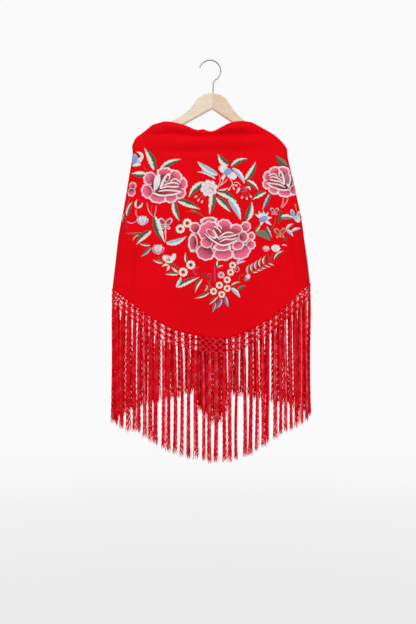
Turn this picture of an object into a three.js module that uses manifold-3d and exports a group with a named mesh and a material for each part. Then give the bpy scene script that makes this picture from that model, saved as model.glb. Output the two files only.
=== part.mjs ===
// A triangular flamenco shawl with a knotted fringe, hung on a flat wooden coat hanger.
// The middle of the shawl faces the front. Its two wings pass over the hanger's arms to the
// back, where their tips are tied in one knot, so the back shows an open V.
//
// Units are millimetres. +X is the viewer's right, +Y goes to the back and +Z is up. The
// origin is the point at the top of the hook's inside that a rail bears on.
import * as THREE from "three";
import { mergeVertices } from "three/addons/utils/BufferGeometryUtils.js";
import Module from "manifold-3d";

const wasm = await Module();
wasm.setup();

const { lerp, clamp, degToRad } = THREE.MathUtils;

// Driving sizes of the hanger.
const WIRE_DIAMETER = 3.4;
const WIRE_SIDES = 8;
const LOOP_RADIUS = 28.9; // to the middle of the wire
const LOOP_TIP_ANGLE = 162;
const LOOP_LEAVE_ANGLE = -48;
const SHANK_X = 10.6; // the shank stands this far right of the loop's centre
const SHANK_TOP_Z = -34;
const SHANK_IN_WOOD = 24;
const BORE_CLEARANCE = 0.4;
const WOOD_X = 10.2; // the wood's joint plane, from the loop's centre
const WOOD_TOP_Z = -59;
const WOOD_THICKNESS = 12;
const WOOD_BEVEL = 1.4;
const HANGER_TILT = 2.6; // degrees, right side down
const SEAM_GAP = 0.3; // between pieces that meet

// The upper edge of a wooden arm, out from the joint and down from its top.
const ARM_TOP = [
  { at: "crown", out: 18, down: 2.6 },
  { at: "neck", out: 30, down: 10 },
  { at: "neck", out: 43, down: 25 },
  { at: "slope", out: 57, down: 40.5 },
  { at: "slope", out: 71, down: 54 },
  { at: "slope", out: 88, down: 68.5 },
  { at: "slope", out: 108, down: 80.5 },
  { at: "under the cloth", out: 134, down: 92.5 },
  { at: "under the cloth", out: 156, down: 102 },
  { at: "under the cloth", out: 170, down: 110 },
  { at: "under the cloth", out: 188, down: 125.5 },
  { at: "end", out: 199, down: 141 },
];
// Its lower edge, from the notch at the joint.
const ARM_BOTTOM = [
  { at: "notch", out: 0, down: 44.5 },
  { at: "slope", out: 118, down: 117 },
  { at: "end", out: 184, down: 152 },
];

// Driving sizes of the cloth.
const CLOTH = 1.5;
const ROLL_SHARE = 0.022; // share of a panel's height that rolls over at the top
const FOLD_SHARE = 0.045; // share of its width that turns to the back at each side
const DEPTH = { atTop: 11.5, atHem: 27, topZ: -150, hemZ: -760 }; // off the middle plane
// How far the top edges turn. A share is of the whole top edge, in from the hump on the arm.
const FRONT_TURN = { degrees: 48, share: 0.015 }; // forward, to pass in front of the arm
const NECK_ROLL = { degrees: 78, from: 0.12, to: 0.22 }; // back again, between the arms
const WING_TURN = { degrees: 66, share: 0.018 }; // backward, to pass behind the arm
// The wings' creases, which run to the tie, and the waves of their hems.
const CREASES = { perRadian: 16.5, shift: 1.2, growth: 0.06, most: 7.5, fromZ: -225, toZ: -330 };
const HEM_WAVES = { rise: 6, perWing: 19, shift: 0.8 };

// Driving sizes of the fringe.
const FRINGE_LENGTH = 338;
const FRINGE_THICKNESS = 2.2;
const HEM_GAP = 1; // measured straight down, below a sloping edge
const TAIL_HEM_GAP = 2.6; // the tails' edges slope more
const STRIP_HEIGHT = 3;
const KNOT_ROWS = 3;
const ROW_HEIGHT = 13;
const LEG_WIDTH = 2.4;
const KNOT_FOOT = 1.9; // half the width of the lowest knots
const FRONT_TASSELS = 34;
const WING_TASSELS = 16;
const TAIL_TASSELS = 5;
const WING_FRINGE_END = 0.95; // the rest of the wing's hem is gathered into the tie
// A tassel's sections. at is the share of its length, and the last one is its end.
const TASSEL = [
  { at: 0, wide: 2.6, thick: 1.5 },
  { at: 0.08, wide: 4.6, thick: 2.6 },
  { at: 0.55, wide: 6, thick: 3.2 },
  { at: 0.93, wide: 7.6, thick: 3.4 },
  { at: 1, wide: 4.2, thick: 2 },
];
const TASSEL_SWAY = 1.6;
const INTO_KNOT = 1; // how far a tassel's head reaches up into its knot
const TASSEL_UNEVEN = 5; // how much shorter some of them are
const ROOMY_SPACING = 12; // closer tassels are made narrower
const CLOSEST_SPACING = 7.5;

// The tie at the back, and the rings round its X axis that give its shape.
const TIE = { x: 4, y: 34, z: -530, halfWidth: 16 };
const WING_END = 15; // half the height of a wing where it enters the tie
const TIE_RINGS = [
  { along: -1, high: 16, deep: 7 },
  { along: -0.72, high: 20, deep: 14 },
  { along: -0.25, high: 22, deep: 17 },
  { along: 0.25, high: 22, deep: 17 },
  { along: 0.72, high: 20, deep: 14 },
  { along: 1, high: 16, deep: 7 },
];
const TIE_SIDES = 12;
const TIE_WRAP = 0.1; // how far its section is from an ellipse

// The two edges of a tip below the tie: out from the tie's middle and down from it.
const TAIL_OUTER = [
  { at: "tie", out: 9, down: 22 },
  { at: "widest", out: 37, down: 60 },
  { at: "tip", out: 4, down: 106 },
];
const TAIL_INNER = [
  { at: "tie", out: 1, down: 22.9 },
  { at: "middle", out: 2.5, down: 70 },
  { at: "tip", out: 1.2, down: 106.5 },
];
const TAIL_CREASE = 4.5;
const TAIL_LIFT = 11; // the tips hang behind the tie's middle
const TAIL_FRINGED = { from: 0.54, to: 0.985 };

// Outlines of the front panel, seen from the front. Each runs as its name says.
const RIDGE_LEFT = [
  { at: "shoulder", x: -210, z: -230 },
  { at: "shoulder", x: -201, z: -210 },
  { at: "arm", x: -187, z: -198.5 },
  { at: "arm", x: -172, z: -187 },
  { at: "hump", x: -154, z: -173 },
  { at: "hump", x: -130, z: -166 },
];
const NECK = [
  { at: "hump", x: -130, z: -166 },
  { at: "edge", x: -112, z: -166.5 },
  { at: "edge", x: -90, z: -170 },
  { at: "edge", x: -62, z: -178 },
  { at: "dip", x: -33, z: -187 },
  { at: "pucker", x: -18, z: -185 },
  { at: "dip", x: -4, z: -190 },
  { at: "dip", x: 11, z: -189 },
  { at: "edge", x: 29, z: -180 },
  { at: "edge", x: 57, z: -169 },
  { at: "edge", x: 85, z: -165 },
  { at: "hump", x: 118, z: -169 },
];
const RIDGE_RIGHT = [
  { at: "hump", x: 118, z: -169 },
  { at: "arm", x: 136, z: -178.5 },
  { at: "arm", x: 171, z: -199 },
  { at: "shoulder", x: 190, z: -215 },
  { at: "shoulder", x: 208, z: -237 },
];
const SIDE_LEFT = [
  { at: "shoulder", x: -210, z: -230 },
  { at: "pinch", x: -209, z: -256 },
  { at: "side", x: -219, z: -319 },
  { at: "side", x: -232, z: -394 },
  { at: "side", x: -248, z: -486 },
  { at: "hem", x: -263, z: -616 },
];
const SIDE_RIGHT = [
  { at: "shoulder", x: 208, z: -237 },
  { at: "pinch", x: 211, z: -262 },
  { at: "side", x: 227, z: -334 },
  { at: "side", x: 244, z: -417 },
  { at: "side", x: 257, z: -500 },
  { at: "hem", x: 270, z: -601 },
];
const HEM = [
  { at: "left", x: -263, z: -616 },
  { at: "side", x: -191, z: -669 },
  { at: "side", x: -145, z: -701 },
  { at: "turn", x: -92, z: -728 },
  { at: "turn", x: -32, z: -742 },
  { at: "lowest", x: 18, z: -748 },
  { at: "turn", x: 67, z: -743 },
  { at: "turn", x: 120, z: -720 },
  { at: "side", x: 165, z: -691 },
  { at: "right", x: 270, z: -601 },
];

// Hems of the two wings, from the side fold to the tie.
const WING_HEM_LEFT = [
  { at: "side", x: -263, z: -616 },
  { at: "middle", x: -183, z: -586 },
  { at: "middle", x: -89, z: -563 },
  { at: "tie", x: TIE.x - TIE.halfWidth - SEAM_GAP, z: TIE.z - WING_END },
];
const WING_HEM_RIGHT = [
  { at: "side", x: 270, z: -601 },
  { at: "middle", x: 190, z: -580 },
  { at: "middle", x: 98, z: -563 },
  { at: "tie", x: TIE.x + TIE.halfWidth + SEAM_GAP, z: TIE.z - WING_END },
];

// The largest soft folds of the front. rise is towards the viewer, so a trough's is negative.
const FRONT_FOLDS = [
  { name: "neck roll left", x0: -118, z0: -180, x1: -30, z1: -194, width: 10, rise: 3.5 },
  { name: "neck roll right", x0: 20, z0: -192, x1: 96, z1: -179, width: 10, rise: 4.5 },
  { name: "trough under the roll", x0: -170, z0: -203, x1: 160, z1: -201, width: 9, rise: -4.5 },
  { name: "first drag line", x0: -120, z0: -222, x1: 150, z1: -219, width: 13, rise: 3 },
  { name: "second trough", x0: -130, z0: -246, x1: 120, z1: -247, width: 11, rise: -2.2 },
  { name: "left hem fold", x0: -216, z0: -420, x1: -214, z1: -640, width: 12, rise: 4.5 },
  { name: "left hem trough", x0: -196, z0: -520, x1: -198, z1: -670, width: 9, rise: -4 },
  { name: "right hem fold", x0: 216, z0: -380, x1: 244, z1: -615, width: 10, rise: 5 },
  { name: "right hem trough", x0: 208, z0: -450, x1: 226, z1: -640, width: 8, rise: -4.5 },
  { name: "middle flute left", x0: -60, z0: -590, x1: -66, z1: -738, width: 22, rise: 2.5 },
  { name: "middle flute right", x0: 96, z0: -600, x1: 104, z1: -730, width: 20, rise: 2.2 },
];

// 0 at from and 1 at to, eased at both ends. from may be the larger of the two.
function smooth(from, to, value) {
  const q = clamp((value - from) / (to - from), 0, 1);
  return q * q * (3 - 2 * q);
}

// A smooth curve through the rows of a table, run through at even chord length as u goes 0 to 1.
function through(rows) {
  const chord = [0];
  for (let i = 1; i < rows.length; i++) {
    chord.push(chord[i - 1] + Math.hypot(rows[i].x - rows[i - 1].x, rows[i].z - rows[i - 1].z));
  }
  const length = chord.at(-1);
  const slope = (i, key) => {
    const a = Math.max(i - 1, 0);
    const b = Math.min(i + 1, rows.length - 1);
    return (rows[b][key] - rows[a][key]) / (chord[b] - chord[a]);
  };
  const along = (u, key) => {
    const c = clamp(u, 0, 1) * length;
    let i = 0;
    while (i < rows.length - 2 && c > chord[i + 1]) i++;
    const h = chord[i + 1] - chord[i];
    const q = (c - chord[i]) / h;
    return (
      (2 * q ** 3 - 3 * q ** 2 + 1) * rows[i][key] +
      (q ** 3 - 2 * q ** 2 + q) * h * slope(i, key) +
      (3 * q ** 2 - 2 * q ** 3) * rows[i + 1][key] +
      (q ** 3 - q ** 2) * h * slope(i + 1, key)
    );
  };
  const curve = (u) => ({ x: along(u, "x"), z: along(u, "z") });
  curve.chord = length;
  return curve;
}

// Curves one after the other, each with its share of the whole length.
function joined(curves) {
  const total = curves.reduce((sum, c) => sum + c.chord, 0);
  const curve = (u) => {
    let start = 0;
    for (const c of curves) {
      const share = c.chord / total;
      if (u <= start + share || c === curves.at(-1)) return c((u - start) / share);
      start += share;
    }
  };
  curve.chord = total;
  return curve;
}

// The patch between four border curves: s runs from left to right, t from top to bottom.
function patch(left, right, top, bottom) {
  const corners = { tl: top(0), tr: top(1), bl: bottom(0), br: bottom(1) };
  return (s, t) => {
    const [l, r, a, b] = [left(t), right(t), top(s), bottom(s)];
    const at = (key) =>
      lerp(l[key], r[key], s) +
      lerp(a[key], b[key], t) -
      lerp(lerp(corners.tl[key], corners.tr[key], s), lerp(corners.bl[key], corners.br[key], s), t);
    return { x: at("x"), z: at("z") };
  };
}

// The height of a table of soft folds at one place.
function foldRise(folds, x, z) {
  let rise = 0;
  for (const f of folds) {
    const [dx, dz] = [f.x1 - f.x0, f.z1 - f.z0];
    const length = Math.hypot(dx, dz);
    const along = ((x - f.x0) * dx + (z - f.z0) * dz) / length ** 2;
    const off = ((x - f.x0) * dz - (z - f.z0) * dx) / length / f.width;
    rise += f.rise * Math.exp(-off * off) * smooth(-0.12, 0.2, along) * smooth(1.12, 0.8, along);
  }
  return rise;
}

// The share of its full depth that the cloth has near a fold of angle 0 (edge) to 90 degrees.
function foldShare(value, share) {
  const c = 1 - clamp(value / share, 0, 1);
  return Math.sqrt(1 - c * c);
}

function depthAt(z) {
  return lerp(DEPTH.atTop, DEPTH.atHem, smooth(DEPTH.topZ, DEPTH.hemZ, z));
}

const ridgeLeft = through(RIDGE_LEFT);
const ridgeRight = through(RIDGE_RIGHT);
const neck = through(NECK);
const frontTop = joined([ridgeLeft, neck, ridgeRight]);
const frontPatch = patch(through(SIDE_LEFT), through(SIDE_RIGHT), frontTop, through(HEM));
const NECK_START = ridgeLeft.chord / frontTop.chord;
const NECK_END = 1 - ridgeRight.chord / frontTop.chord;

// How far the top edge has turned over: 0 on the arms, forward of them beside the hanger, and
// rolled past the top between the arms.
function neckAngle(s) {
  const inside = Math.min(s - NECK_START, NECK_END - s);
  const clearOfArm = FRONT_TURN.degrees * smooth(0, FRONT_TURN.share, inside);
  const rolledBack = NECK_ROLL.degrees * smooth(NECK_ROLL.from, NECK_ROLL.to, inside);
  return degToRad(clearOfArm - rolledBack);
}

// A point of the front panel. turn, 0 to 1, is for the rows that roll over at the top; down,
// 0 to 1, for the rows below them.
function frontPoint(s, { turn = 1, down = 0 }) {
  const start = neckAngle(s);
  const crest = Math.cos(Math.max(start, 0));
  const angle = lerp(start, Math.PI / 2, turn);
  const rolled = ROLL_SHARE * (crest - Math.cos(angle));
  const t = lerp(rolled, 1, down);
  const { x, z } = frontPatch(s, t);
  const side = foldShare(Math.min(s, 1 - s), FOLD_SHARE);
  const depth = depthAt(z) + foldRise(FRONT_FOLDS, x, z);
  const y = -depth * side * Math.sin(angle);
  return new THREE.Vector3(x, start < 0 ? y : Math.min(y, -SEAM_GAP / 2), z);
}

// The left wing, or the right one: from the side fold at s = 0 to the tie at s = 1.
function wing(hand) {
  const left = hand < 0;
  const ridge = left ? ridgeLeft : (u) => ridgeRight(1 - u);
  ridge.chord = left ? ridgeLeft.chord : ridgeRight.chord;
  const hump = left ? RIDGE_LEFT.at(-1) : RIDGE_RIGHT[0];
  const tieX = TIE.x + hand * (TIE.halfWidth + SEAM_GAP);
  const tieTop = { at: "tie", x: tieX, z: TIE.z + WING_END };
  const tieBottom = { at: "tie", x: tieX, z: TIE.z - WING_END };
  const neckline = through([
    { at: "hump", x: hump.x, z: hump.z },
    { at: "over the arm", x: hump.x - hand * 10, z: hump.z - 1 },
    { at: "behind the arm", x: hump.x - hand * 27, z: hump.z - 24 },
    { at: "middle", x: lerp(hump.x, tieX, 0.5) + hand * 5, z: lerp(hump.z, TIE.z, 0.5) },
    tieTop,
  ]);
  const top = joined([ridge, neckline]);
  const side = through(left ? SIDE_LEFT : SIDE_RIGHT);
  const hem = through(left ? WING_HEM_LEFT : WING_HEM_RIGHT);
  const place = patch(side, through([tieTop, tieBottom]), top, hem);
  const humpShare = ridge.chord / top.chord;
  const point = (s, { turn = 1, down = 0 }) => {
    const start = degToRad(WING_TURN.degrees * smooth(0, WING_TURN.share, s - humpShare));
    const angle = lerp(start, Math.PI / 2, turn);
    const t = lerp(ROLL_SHARE * (Math.cos(start) - Math.cos(angle)), 1, down);
    const { x, z } = place(s, t);
    const depth = lerp(depthAt(z), TIE.y, smooth(0.45, 0.97, s));
    const relief = creaseRise(hand, x, z) * smooth(0, 0.3, s) + hemWave(s, t);
    const y = (depth + relief) * foldShare(s, FOLD_SHARE) * Math.sin(angle);
    return new THREE.Vector3(x, Math.max(y, SEAM_GAP / 2), z);
  };
  return { point, humpShare };
}

// A wing's creases run to the tie, and are shallower near it, where they lie closer together.
function creaseRise(hand, x, z) {
  const fromTie = Math.hypot(x - TIE.x, z - TIE.z);
  const around = Math.atan2(z - TIE.z, hand * (x - TIE.x));
  const height = Math.min(CREASES.growth * fromTie, CREASES.most);
  const belowArm = smooth(CREASES.fromZ, CREASES.toZ, z);
  return height * Math.sin(around * CREASES.perRadian + CREASES.shift) * belowArm;
}

function hemWave(s, t) {
  const wave = Math.sin(s * HEM_WAVES.perWing + HEM_WAVES.shift);
  return HEM_WAVES.rise * wave * smooth(0.55, 1, t) * smooth(1, 0.75, s);
}

// A tip of the shawl below the tie: a narrow leaf of cloth, creased down its middle.
function tail(hand) {
  const edge = (rows) =>
    through(rows.map(({ at, out, down }) => ({ at, x: TIE.x + hand * out, z: TIE.z - down })));
  const outer = edge(TAIL_OUTER);
  const inner = edge(TAIL_INNER);
  const across = (t) => through([outer(t), inner(t)]);
  const place = patch(outer, inner, across(0), across(1));
  const point = (s, t) => {
    const { x, z } = place(s, t);
    const crease = TAIL_CREASE * Math.sin(Math.PI * s) * smooth(0, 0.3, t) * smooth(1, 0.7, t);
    return new THREE.Vector3(x, TIE.y + TAIL_LIFT * smooth(0, 0.55, t) - crease, z);
  };
  return { point, fringed: (u) => point(0, lerp(TAIL_FRINGED.from, TAIL_FRINGED.to, u)) };
}

function geometryOf(points, triangles) {
  const geometry = new THREE.BufferGeometry();
  geometry.setAttribute(
    "position",
    new THREE.Float32BufferAttribute(points.flatMap((p) => [p.x, p.y, p.z]), 3),
  );
  geometry.setIndex(triangles.flat());
  return geometry;
}

// A sheet of triangles given a thickness: a face on each side and a wall round every free edge.
function thickened(points, normals, triangles, thickness) {
  const count = points.length;
  const outer = points.map((p, i) => p.clone().addScaledVector(normals[i], thickness / 2));
  const inner = points.map((p, i) => p.clone().addScaledVector(normals[i], -thickness / 2));
  const faces = [...triangles, ...triangles.map(([a, b, c]) => [a + count, c + count, b + count])];
  const edges = new Set(triangles.flatMap(([a, b, c]) => [`${a} ${b}`, `${b} ${c}`, `${c} ${a}`]));
  for (const edge of edges) {
    const [a, b] = edge.split(" ").map(Number);
    if (edges.has(`${b} ${a}`)) continue;
    faces.push([b, a, a + count], [b, a + count, b + count]);
  }
  return geometryOf([...outer, ...inner], faces);
}

// A wall of cloth through a grid of points, whose rows run from left to right seen from outside.
// square(point, column) names the axis across a seam there, which the wall's end stays square to.
function clothWall(rows, square = () => null) {
  const width = rows[0].length;
  const points = rows.flat();
  const triangles = [];
  for (let j = 0; j + 1 < rows.length; j++) {
    for (let i = 0; i + 1 < width; i++) {
      const a = j * width + i;
      triangles.push([a, a + width, a + 1], [a + 1, a + width, a + width + 1]);
    }
  }
  const sheet = geometryOf(points, triangles);
  sheet.computeVertexNormals();
  const n = sheet.getAttribute("normal");
  const normals = points.map((p, i) => {
    const normal = new THREE.Vector3().fromBufferAttribute(n, i);
    const axis = square(p, i % width);
    if (axis) normal[axis] = 0;
    return normal.normalize();
  });
  return thickened(points, normals, triangles, CLOTH);
}

function turned(count, share) {
  return Array.from({ length: count }, (_, k) => share * (1 - Math.cos(((k / count) * Math.PI) / 2)));
}

function evenly(from, to, count) {
  return Array.from({ length: count + 1 }, (_, k) => lerp(from, to, k / count));
}

const ROLL_ROWS = [0, 0.3, 0.6, 0.85];

// Rows of the front: those that roll over, then closely spaced ones over the folds at the top.
function frontRows() {
  const rows = ROLL_ROWS.map((turn) => ({ turn }));
  const below = [...evenly(0, 0.15, 7), ...evenly(0.15, 1, 11).slice(1)];
  return [...rows, ...below.map((down) => ({ down }))];
}

function frontPanel() {
  const fold = turned(4, FOLD_SHARE);
  const byArm = 2 * FRONT_TURN.share;
  const flat = [
    ...evenly(FOLD_SHARE, NECK_START, 3),
    ...evenly(NECK_START, NECK_START + byArm, 2).slice(1),
    ...evenly(NECK_START + byArm, NECK_END - byArm, 13).slice(1),
    ...evenly(NECK_END - byArm, NECK_END, 2).slice(1),
    ...evenly(NECK_END, 1 - FOLD_SHARE, 3).slice(1),
  ];
  const columns = [...fold, ...flat, ...fold.map((s) => 1 - s).reverse()];
  return clothWall(
    frontRows().map((row) => columns.map((s) => frontPoint(s, row))),
    (p) => (Math.abs(p.y) < SEAM_GAP ? "y" : null),
  );
}

function wingPanel(hand) {
  const { point, humpShare } = wing(hand);
  const behindArm = humpShare + WING_TURN.share;
  const columns = [
    ...turned(3, FOLD_SHARE),
    ...evenly(FOLD_SHARE, humpShare, 2),
    lerp(humpShare, behindArm, 0.5),
    ...evenly(behindArm, 1, 8),
  ];
  const rows = [...ROLL_ROWS.map((turn) => ({ turn })), ...evenly(0, 1, 9).map((down) => ({ down }))];
  const ordered = hand < 0 ? [...columns].reverse() : columns;
  const tieColumn = hand < 0 ? 0 : columns.length - 1;
  return clothWall(
    rows.map((row) => ordered.map((s) => point(s, row))),
    (p, column) => (column === tieColumn ? "x" : p.y < SEAM_GAP ? "y" : null),
  );
}

function tailPanel(hand) {
  const { point } = tail(hand);
  const columns = hand < 0 ? evenly(1, 0, 4) : evenly(0, 1, 4);
  return clothWall(evenly(0, 1, 7).map((t) => columns.map((s) => point(s, t))));
}

// One cell of the knotted net, one tassel wide, as a flat outline and its holes. across runs 0 to
// 1 over the cell, drop is straight down in millimetres.
function netCell(period) {
  const half = period / 2;
  const inset = 1 - LEG_WIDTH / 2 / ((half * ROW_HEIGHT) / Math.hypot(half, ROW_HEIGHT));
  const [wide, tall] = [(half * inset) / period, ROW_HEIGHT * inset];
  const row = (k) => STRIP_HEIGHT + k * ROW_HEIGHT;
  const foot = KNOT_FOOT / period;
  const outline = [
    [0, 0],
    [1, 0],
    [1, row(1) - tall],
    [1 - wide, row(1)],
    [1, row(1) + tall],
    [1, row(KNOT_ROWS) - tall],
    [0.5 + foot, row(KNOT_ROWS) + 1],
    [0.5 - foot, row(KNOT_ROWS) + 1],
    [0, row(KNOT_ROWS) - tall],
    [0, row(1) + tall],
    [wide, row(1)],
    [0, row(1) - tall],
  ];
  const belowStrip = [
    [0.5 - wide * 0.8, STRIP_HEIGHT],
    [0.5 + wide * 0.8, STRIP_HEIGHT],
    [0.5, row(1) - ROW_HEIGHT + tall * 0.85],
  ];
  const diamond = [
    [0.5, row(2) - tall],
    [0.5 + wide, row(2)],
    [0.5, row(2) + tall],
    [0.5 - wide, row(2)],
  ];
  return { outline, holes: [belowStrip, diamond] };
}

// The net along a hem. edge(u) is a point of the hem, u from 0 to 1, and each net point hangs
// straight below it.
function net(edge, tassels, place) {
  const period = place.length / tassels;
  const cell = netCell(period);
  const flat = [cell.outline, ...cell.holes].map((ring) => ring.map(([a, d]) => new THREE.Vector2(a, -d)));
  const faces = THREE.ShapeUtils.triangulateShape(flat[0], flat.slice(1));
  const spots = [cell.outline, ...cell.holes].flat();
  const points = [];
  const normals = [];
  const known = new Map();
  const indexOf = (across, drop) => {
    const key = `${across.toFixed(5)} ${drop.toFixed(3)}`;
    if (!known.has(key)) {
      const u = across / tassels;
      known.set(key, points.length);
      points.push(edge(u).add(new THREE.Vector3(0, 0, -place.gap - drop)));
      normals.push(place.outward(u));
    }
    return known.get(key);
  };
  const triangles = [];
  for (let k = 0; k < tassels; k++) {
    const index = spots.map(([across, drop]) => indexOf(k + across, drop));
    for (const [a, b, c] of faces) triangles.push([index[a], index[b], index[c]]);
  }
  const signed = faces.reduce((sum, [a, b, c]) => {
    const [p, q, r] = [spots[a], spots[b], spots[c]];
    return sum + (q[0] - p[0]) * (r[1] - p[1]) - (r[0] - p[0]) * (q[1] - p[1]);
  }, 0);
  const facing = signed < 0 ? triangles : triangles.map(([a, b, c]) => [a, c, b]);
  return thickened(points, normals, facing, FRINGE_THICKNESS);
}

// One tassel: a four-sided lock that widens towards its end and sways a little.
function tasselLock(root, along, outward, length, spacing, index) {
  const narrowed = Math.min(1, spacing / ROOMY_SPACING);
  const points = TASSEL.flatMap(({ at, wide, thick }, k) => {
    const sway = k > 0 ? Math.sin(index * 2.4 + k * 1.7) * TASSEL_SWAY * narrowed : 0;
    const middle = root.clone().addScaledVector(along, sway);
    middle.z -= at * length;
    const corner = (a, o) =>
      middle
        .clone()
        .addScaledVector(along, (a * wide * narrowed) / 2)
        .addScaledVector(outward, (o * thick) / 2);
    return [corner(-1, 0), corner(0, 1), corner(1, 0), corner(0, -1)];
  });
  const triangles = [
    [0, 1, 2],
    [0, 2, 3],
  ];
  for (let k = 0; k + 1 < TASSEL.length; k++) {
    for (let i = 0; i < 4; i++) {
      const [a, b] = [k * 4 + i, k * 4 + ((i + 1) % 4)];
      triangles.push([a, a + 4, b], [b, a + 4, b + 4]);
    }
  }
  const last = (TASSEL.length - 1) * 4;
  triangles.push([last, last + 2, last + 1], [last, last + 3, last + 2]);
  return geometryOf(points, triangles);
}

function manifoldOf(geometry) {
  const bare = geometry.clone();
  for (const name of Object.keys(bare.attributes)) if (name !== "position") bare.deleteAttribute(name);
  const merged = mergeVertices(bare, 1e-4);
  const mesh = new wasm.Mesh({
    numProp: 3,
    vertProperties: new Float32Array(merged.attributes.position.array),
    triVerts: new Uint32Array(merged.index.array),
  });
  return new wasm.Manifold(mesh);
}

function geometryFrom(solid) {
  const mesh = solid.getMesh();
  const geometry = new THREE.BufferGeometry();
  geometry.setAttribute("position", new THREE.Float32BufferAttribute(mesh.vertProperties, 3));
  geometry.setIndex([...mesh.triVerts]);
  return geometry;
}

// A hem's fringe: the net, with a tassel fused to each of its lowest knots.
function fringe(edge, tassels, gap = HEM_GAP) {
  const samples = evenly(0, 1, 400).map((u) => edge(u));
  const lengths = [0];
  for (let i = 1; i < samples.length; i++) {
    lengths.push(lengths[i - 1] + samples[i].distanceTo(samples[i - 1]));
  }
  const total = lengths.at(-1);
  const even = (u) => {
    const target = clamp(u, 0, 1) * total;
    let i = 0;
    while (i < lengths.length - 2 && lengths[i + 1] < target) i++;
    return samples[i].clone().lerp(samples[i + 1], (target - lengths[i]) / (lengths[i + 1] - lengths[i]));
  };
  const along = (u) => {
    const step = even(Math.min(u + 0.004, 1)).sub(even(Math.max(u - 0.004, 0)));
    return new THREE.Vector3(step.x, step.y, 0).normalize();
  };
  const outward = (u) => {
    const a = along(u);
    return new THREE.Vector3(a.y, -a.x, 0);
  };
  let solid = manifoldOf(net(even, tassels, { length: total, outward, gap }));
  const footDrop = gap + STRIP_HEIGHT + KNOT_ROWS * ROW_HEIGHT + 1;
  for (let k = 0; k < tassels; k++) {
    const u = (k + 0.5) / tassels;
    const root = even(u).add(new THREE.Vector3(0, 0, INTO_KNOT - footDrop));
    const spacing = Math.abs(even((k + 1) / tassels).x - even(k / tassels).x);
    const length = FRINGE_LENGTH - footDrop - TASSEL_UNEVEN * Math.abs(Math.sin(k * 5.3));
    const lock = tasselLock(root, along(u), outward(u), length, Math.max(spacing, CLOSEST_SPACING), k);
    solid = solid.add(manifoldOf(lock));
  }
  return geometryFrom(solid);
}

// The tie: its rings, each pulled out of round as wrapped cloth is.
function tieKnot() {
  const sides = TIE_SIDES;
  const points = TIE_RINGS.flatMap(({ along, high, deep }) =>
    Array.from({ length: sides }, (_, i) => {
      const angle = (i / sides) * Math.PI * 2;
      const wrap = 1 + TIE_WRAP * Math.sin(2 * angle) * (1 - along * along);
      return new THREE.Vector3(
        TIE.x + along * TIE.halfWidth,
        TIE.y + Math.sin(angle) * deep * wrap,
        TIE.z + Math.cos(angle) * high * wrap,
      );
    }),
  );
  const triangles = [];
  for (let k = 0; k + 1 < TIE_RINGS.length; k++) {
    for (let i = 0; i < sides; i++) {
      const [a, b] = [k * sides + i, k * sides + ((i + 1) % sides)];
      triangles.push([a, a + sides, b], [b, a + sides, b + sides]);
    }
  }
  const last = (TIE_RINGS.length - 1) * sides;
  for (let i = 1; i + 1 < sides; i++) {
    triangles.push([0, i, i + 1], [last, last + i + 1, last + i]);
  }
  return geometryOf(points, triangles);
}

// The hook's wire, in the plane of the hanger, from its tip over the loop and down the shank.
function hookWire() {
  const at = (degrees) => {
    const a = degToRad(degrees);
    return new THREE.Vector3(LOOP_RADIUS * Math.cos(a), 0, LOOP_RADIUS * Math.sin(a));
  };
  const loop = evenly(LOOP_TIP_ANGLE, LOOP_LEAVE_ANGLE, 18).map(at);
  const shank = [
    new THREE.Vector3(SHANK_X + 1.6, 0, SHANK_TOP_Z + 6.4),
    new THREE.Vector3(SHANK_X, 0, SHANK_TOP_Z),
    new THREE.Vector3(SHANK_X, 0, WOOD_TOP_Z),
    new THREE.Vector3(SHANK_X, 0, WOOD_TOP_Z - SHANK_IN_WOOD),
  ];
  const path = new THREE.CatmullRomCurve3([...loop, ...shank], false, "centripetal");
  const section = new THREE.Shape();
  section.absarc(0, 0, WIRE_DIAMETER / 2, 0, Math.PI * 2);
  const curveSegments = WIRE_SIDES / 2; // an arc of a full turn gets two sides for each
  return new THREE.ExtrudeGeometry(section, { extrudePath: path, steps: 40, curveSegments });
}

// One arm of the wooden body, cut square at the joint and bored with half the shank's hole.
function woodArm(hand) {
  const joint = SEAM_GAP / 2;
  const corners = (rows) => rows.map(({ out, down }) => new THREE.Vector2(Math.max(out, joint), -down));
  const lower = corners(ARM_BOTTOM);
  const upper = corners(ARM_TOP).reverse();
  const [low, high] = [lower.at(-1), upper[0]];
  const profile = new THREE.Shape();
  profile.setFromPoints(lower);
  profile.bezierCurveTo(low.x + 9, low.y - 5, high.x + 4, high.y - 18, high.x, high.y);
  profile.splineThru([...upper.slice(1), new THREE.Vector2(joint, 0)]);
  profile.closePath();
  const wood = new THREE.ExtrudeGeometry(profile, {
    depth: WOOD_THICKNESS - 2 * WOOD_BEVEL,
    bevelThickness: WOOD_BEVEL,
    bevelSize: WOOD_BEVEL,
    bevelOffset: -WOOD_BEVEL,
    bevelSegments: 1,
    curveSegments: 3,
  });
  wood.translate(0, 0, WOOD_BEVEL - WOOD_THICKNESS / 2);
  wood.rotateX(Math.PI / 2);
  const bore = new THREE.CylinderGeometry(
    WIRE_DIAMETER / 2 + BORE_CLEARANCE,
    WIRE_DIAMETER / 2 + BORE_CLEARANCE,
    SHANK_IN_WOOD * 2 + 1,
    WIRE_SIDES,
  );
  bore.rotateX(Math.PI / 2);
  bore.translate((SHANK_X - WOOD_X) * hand, 0, 0);
  const arm = geometryFrom(manifoldOf(wood).subtract(manifoldOf(bore)));
  if (hand < 0) {
    arm.scale(-1, 1, 1);
    const index = arm.getIndex().array;
    for (let i = 0; i < index.length; i += 3) [index[i], index[i + 1]] = [index[i + 1], index[i]];
  }
  return arm;
}

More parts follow.
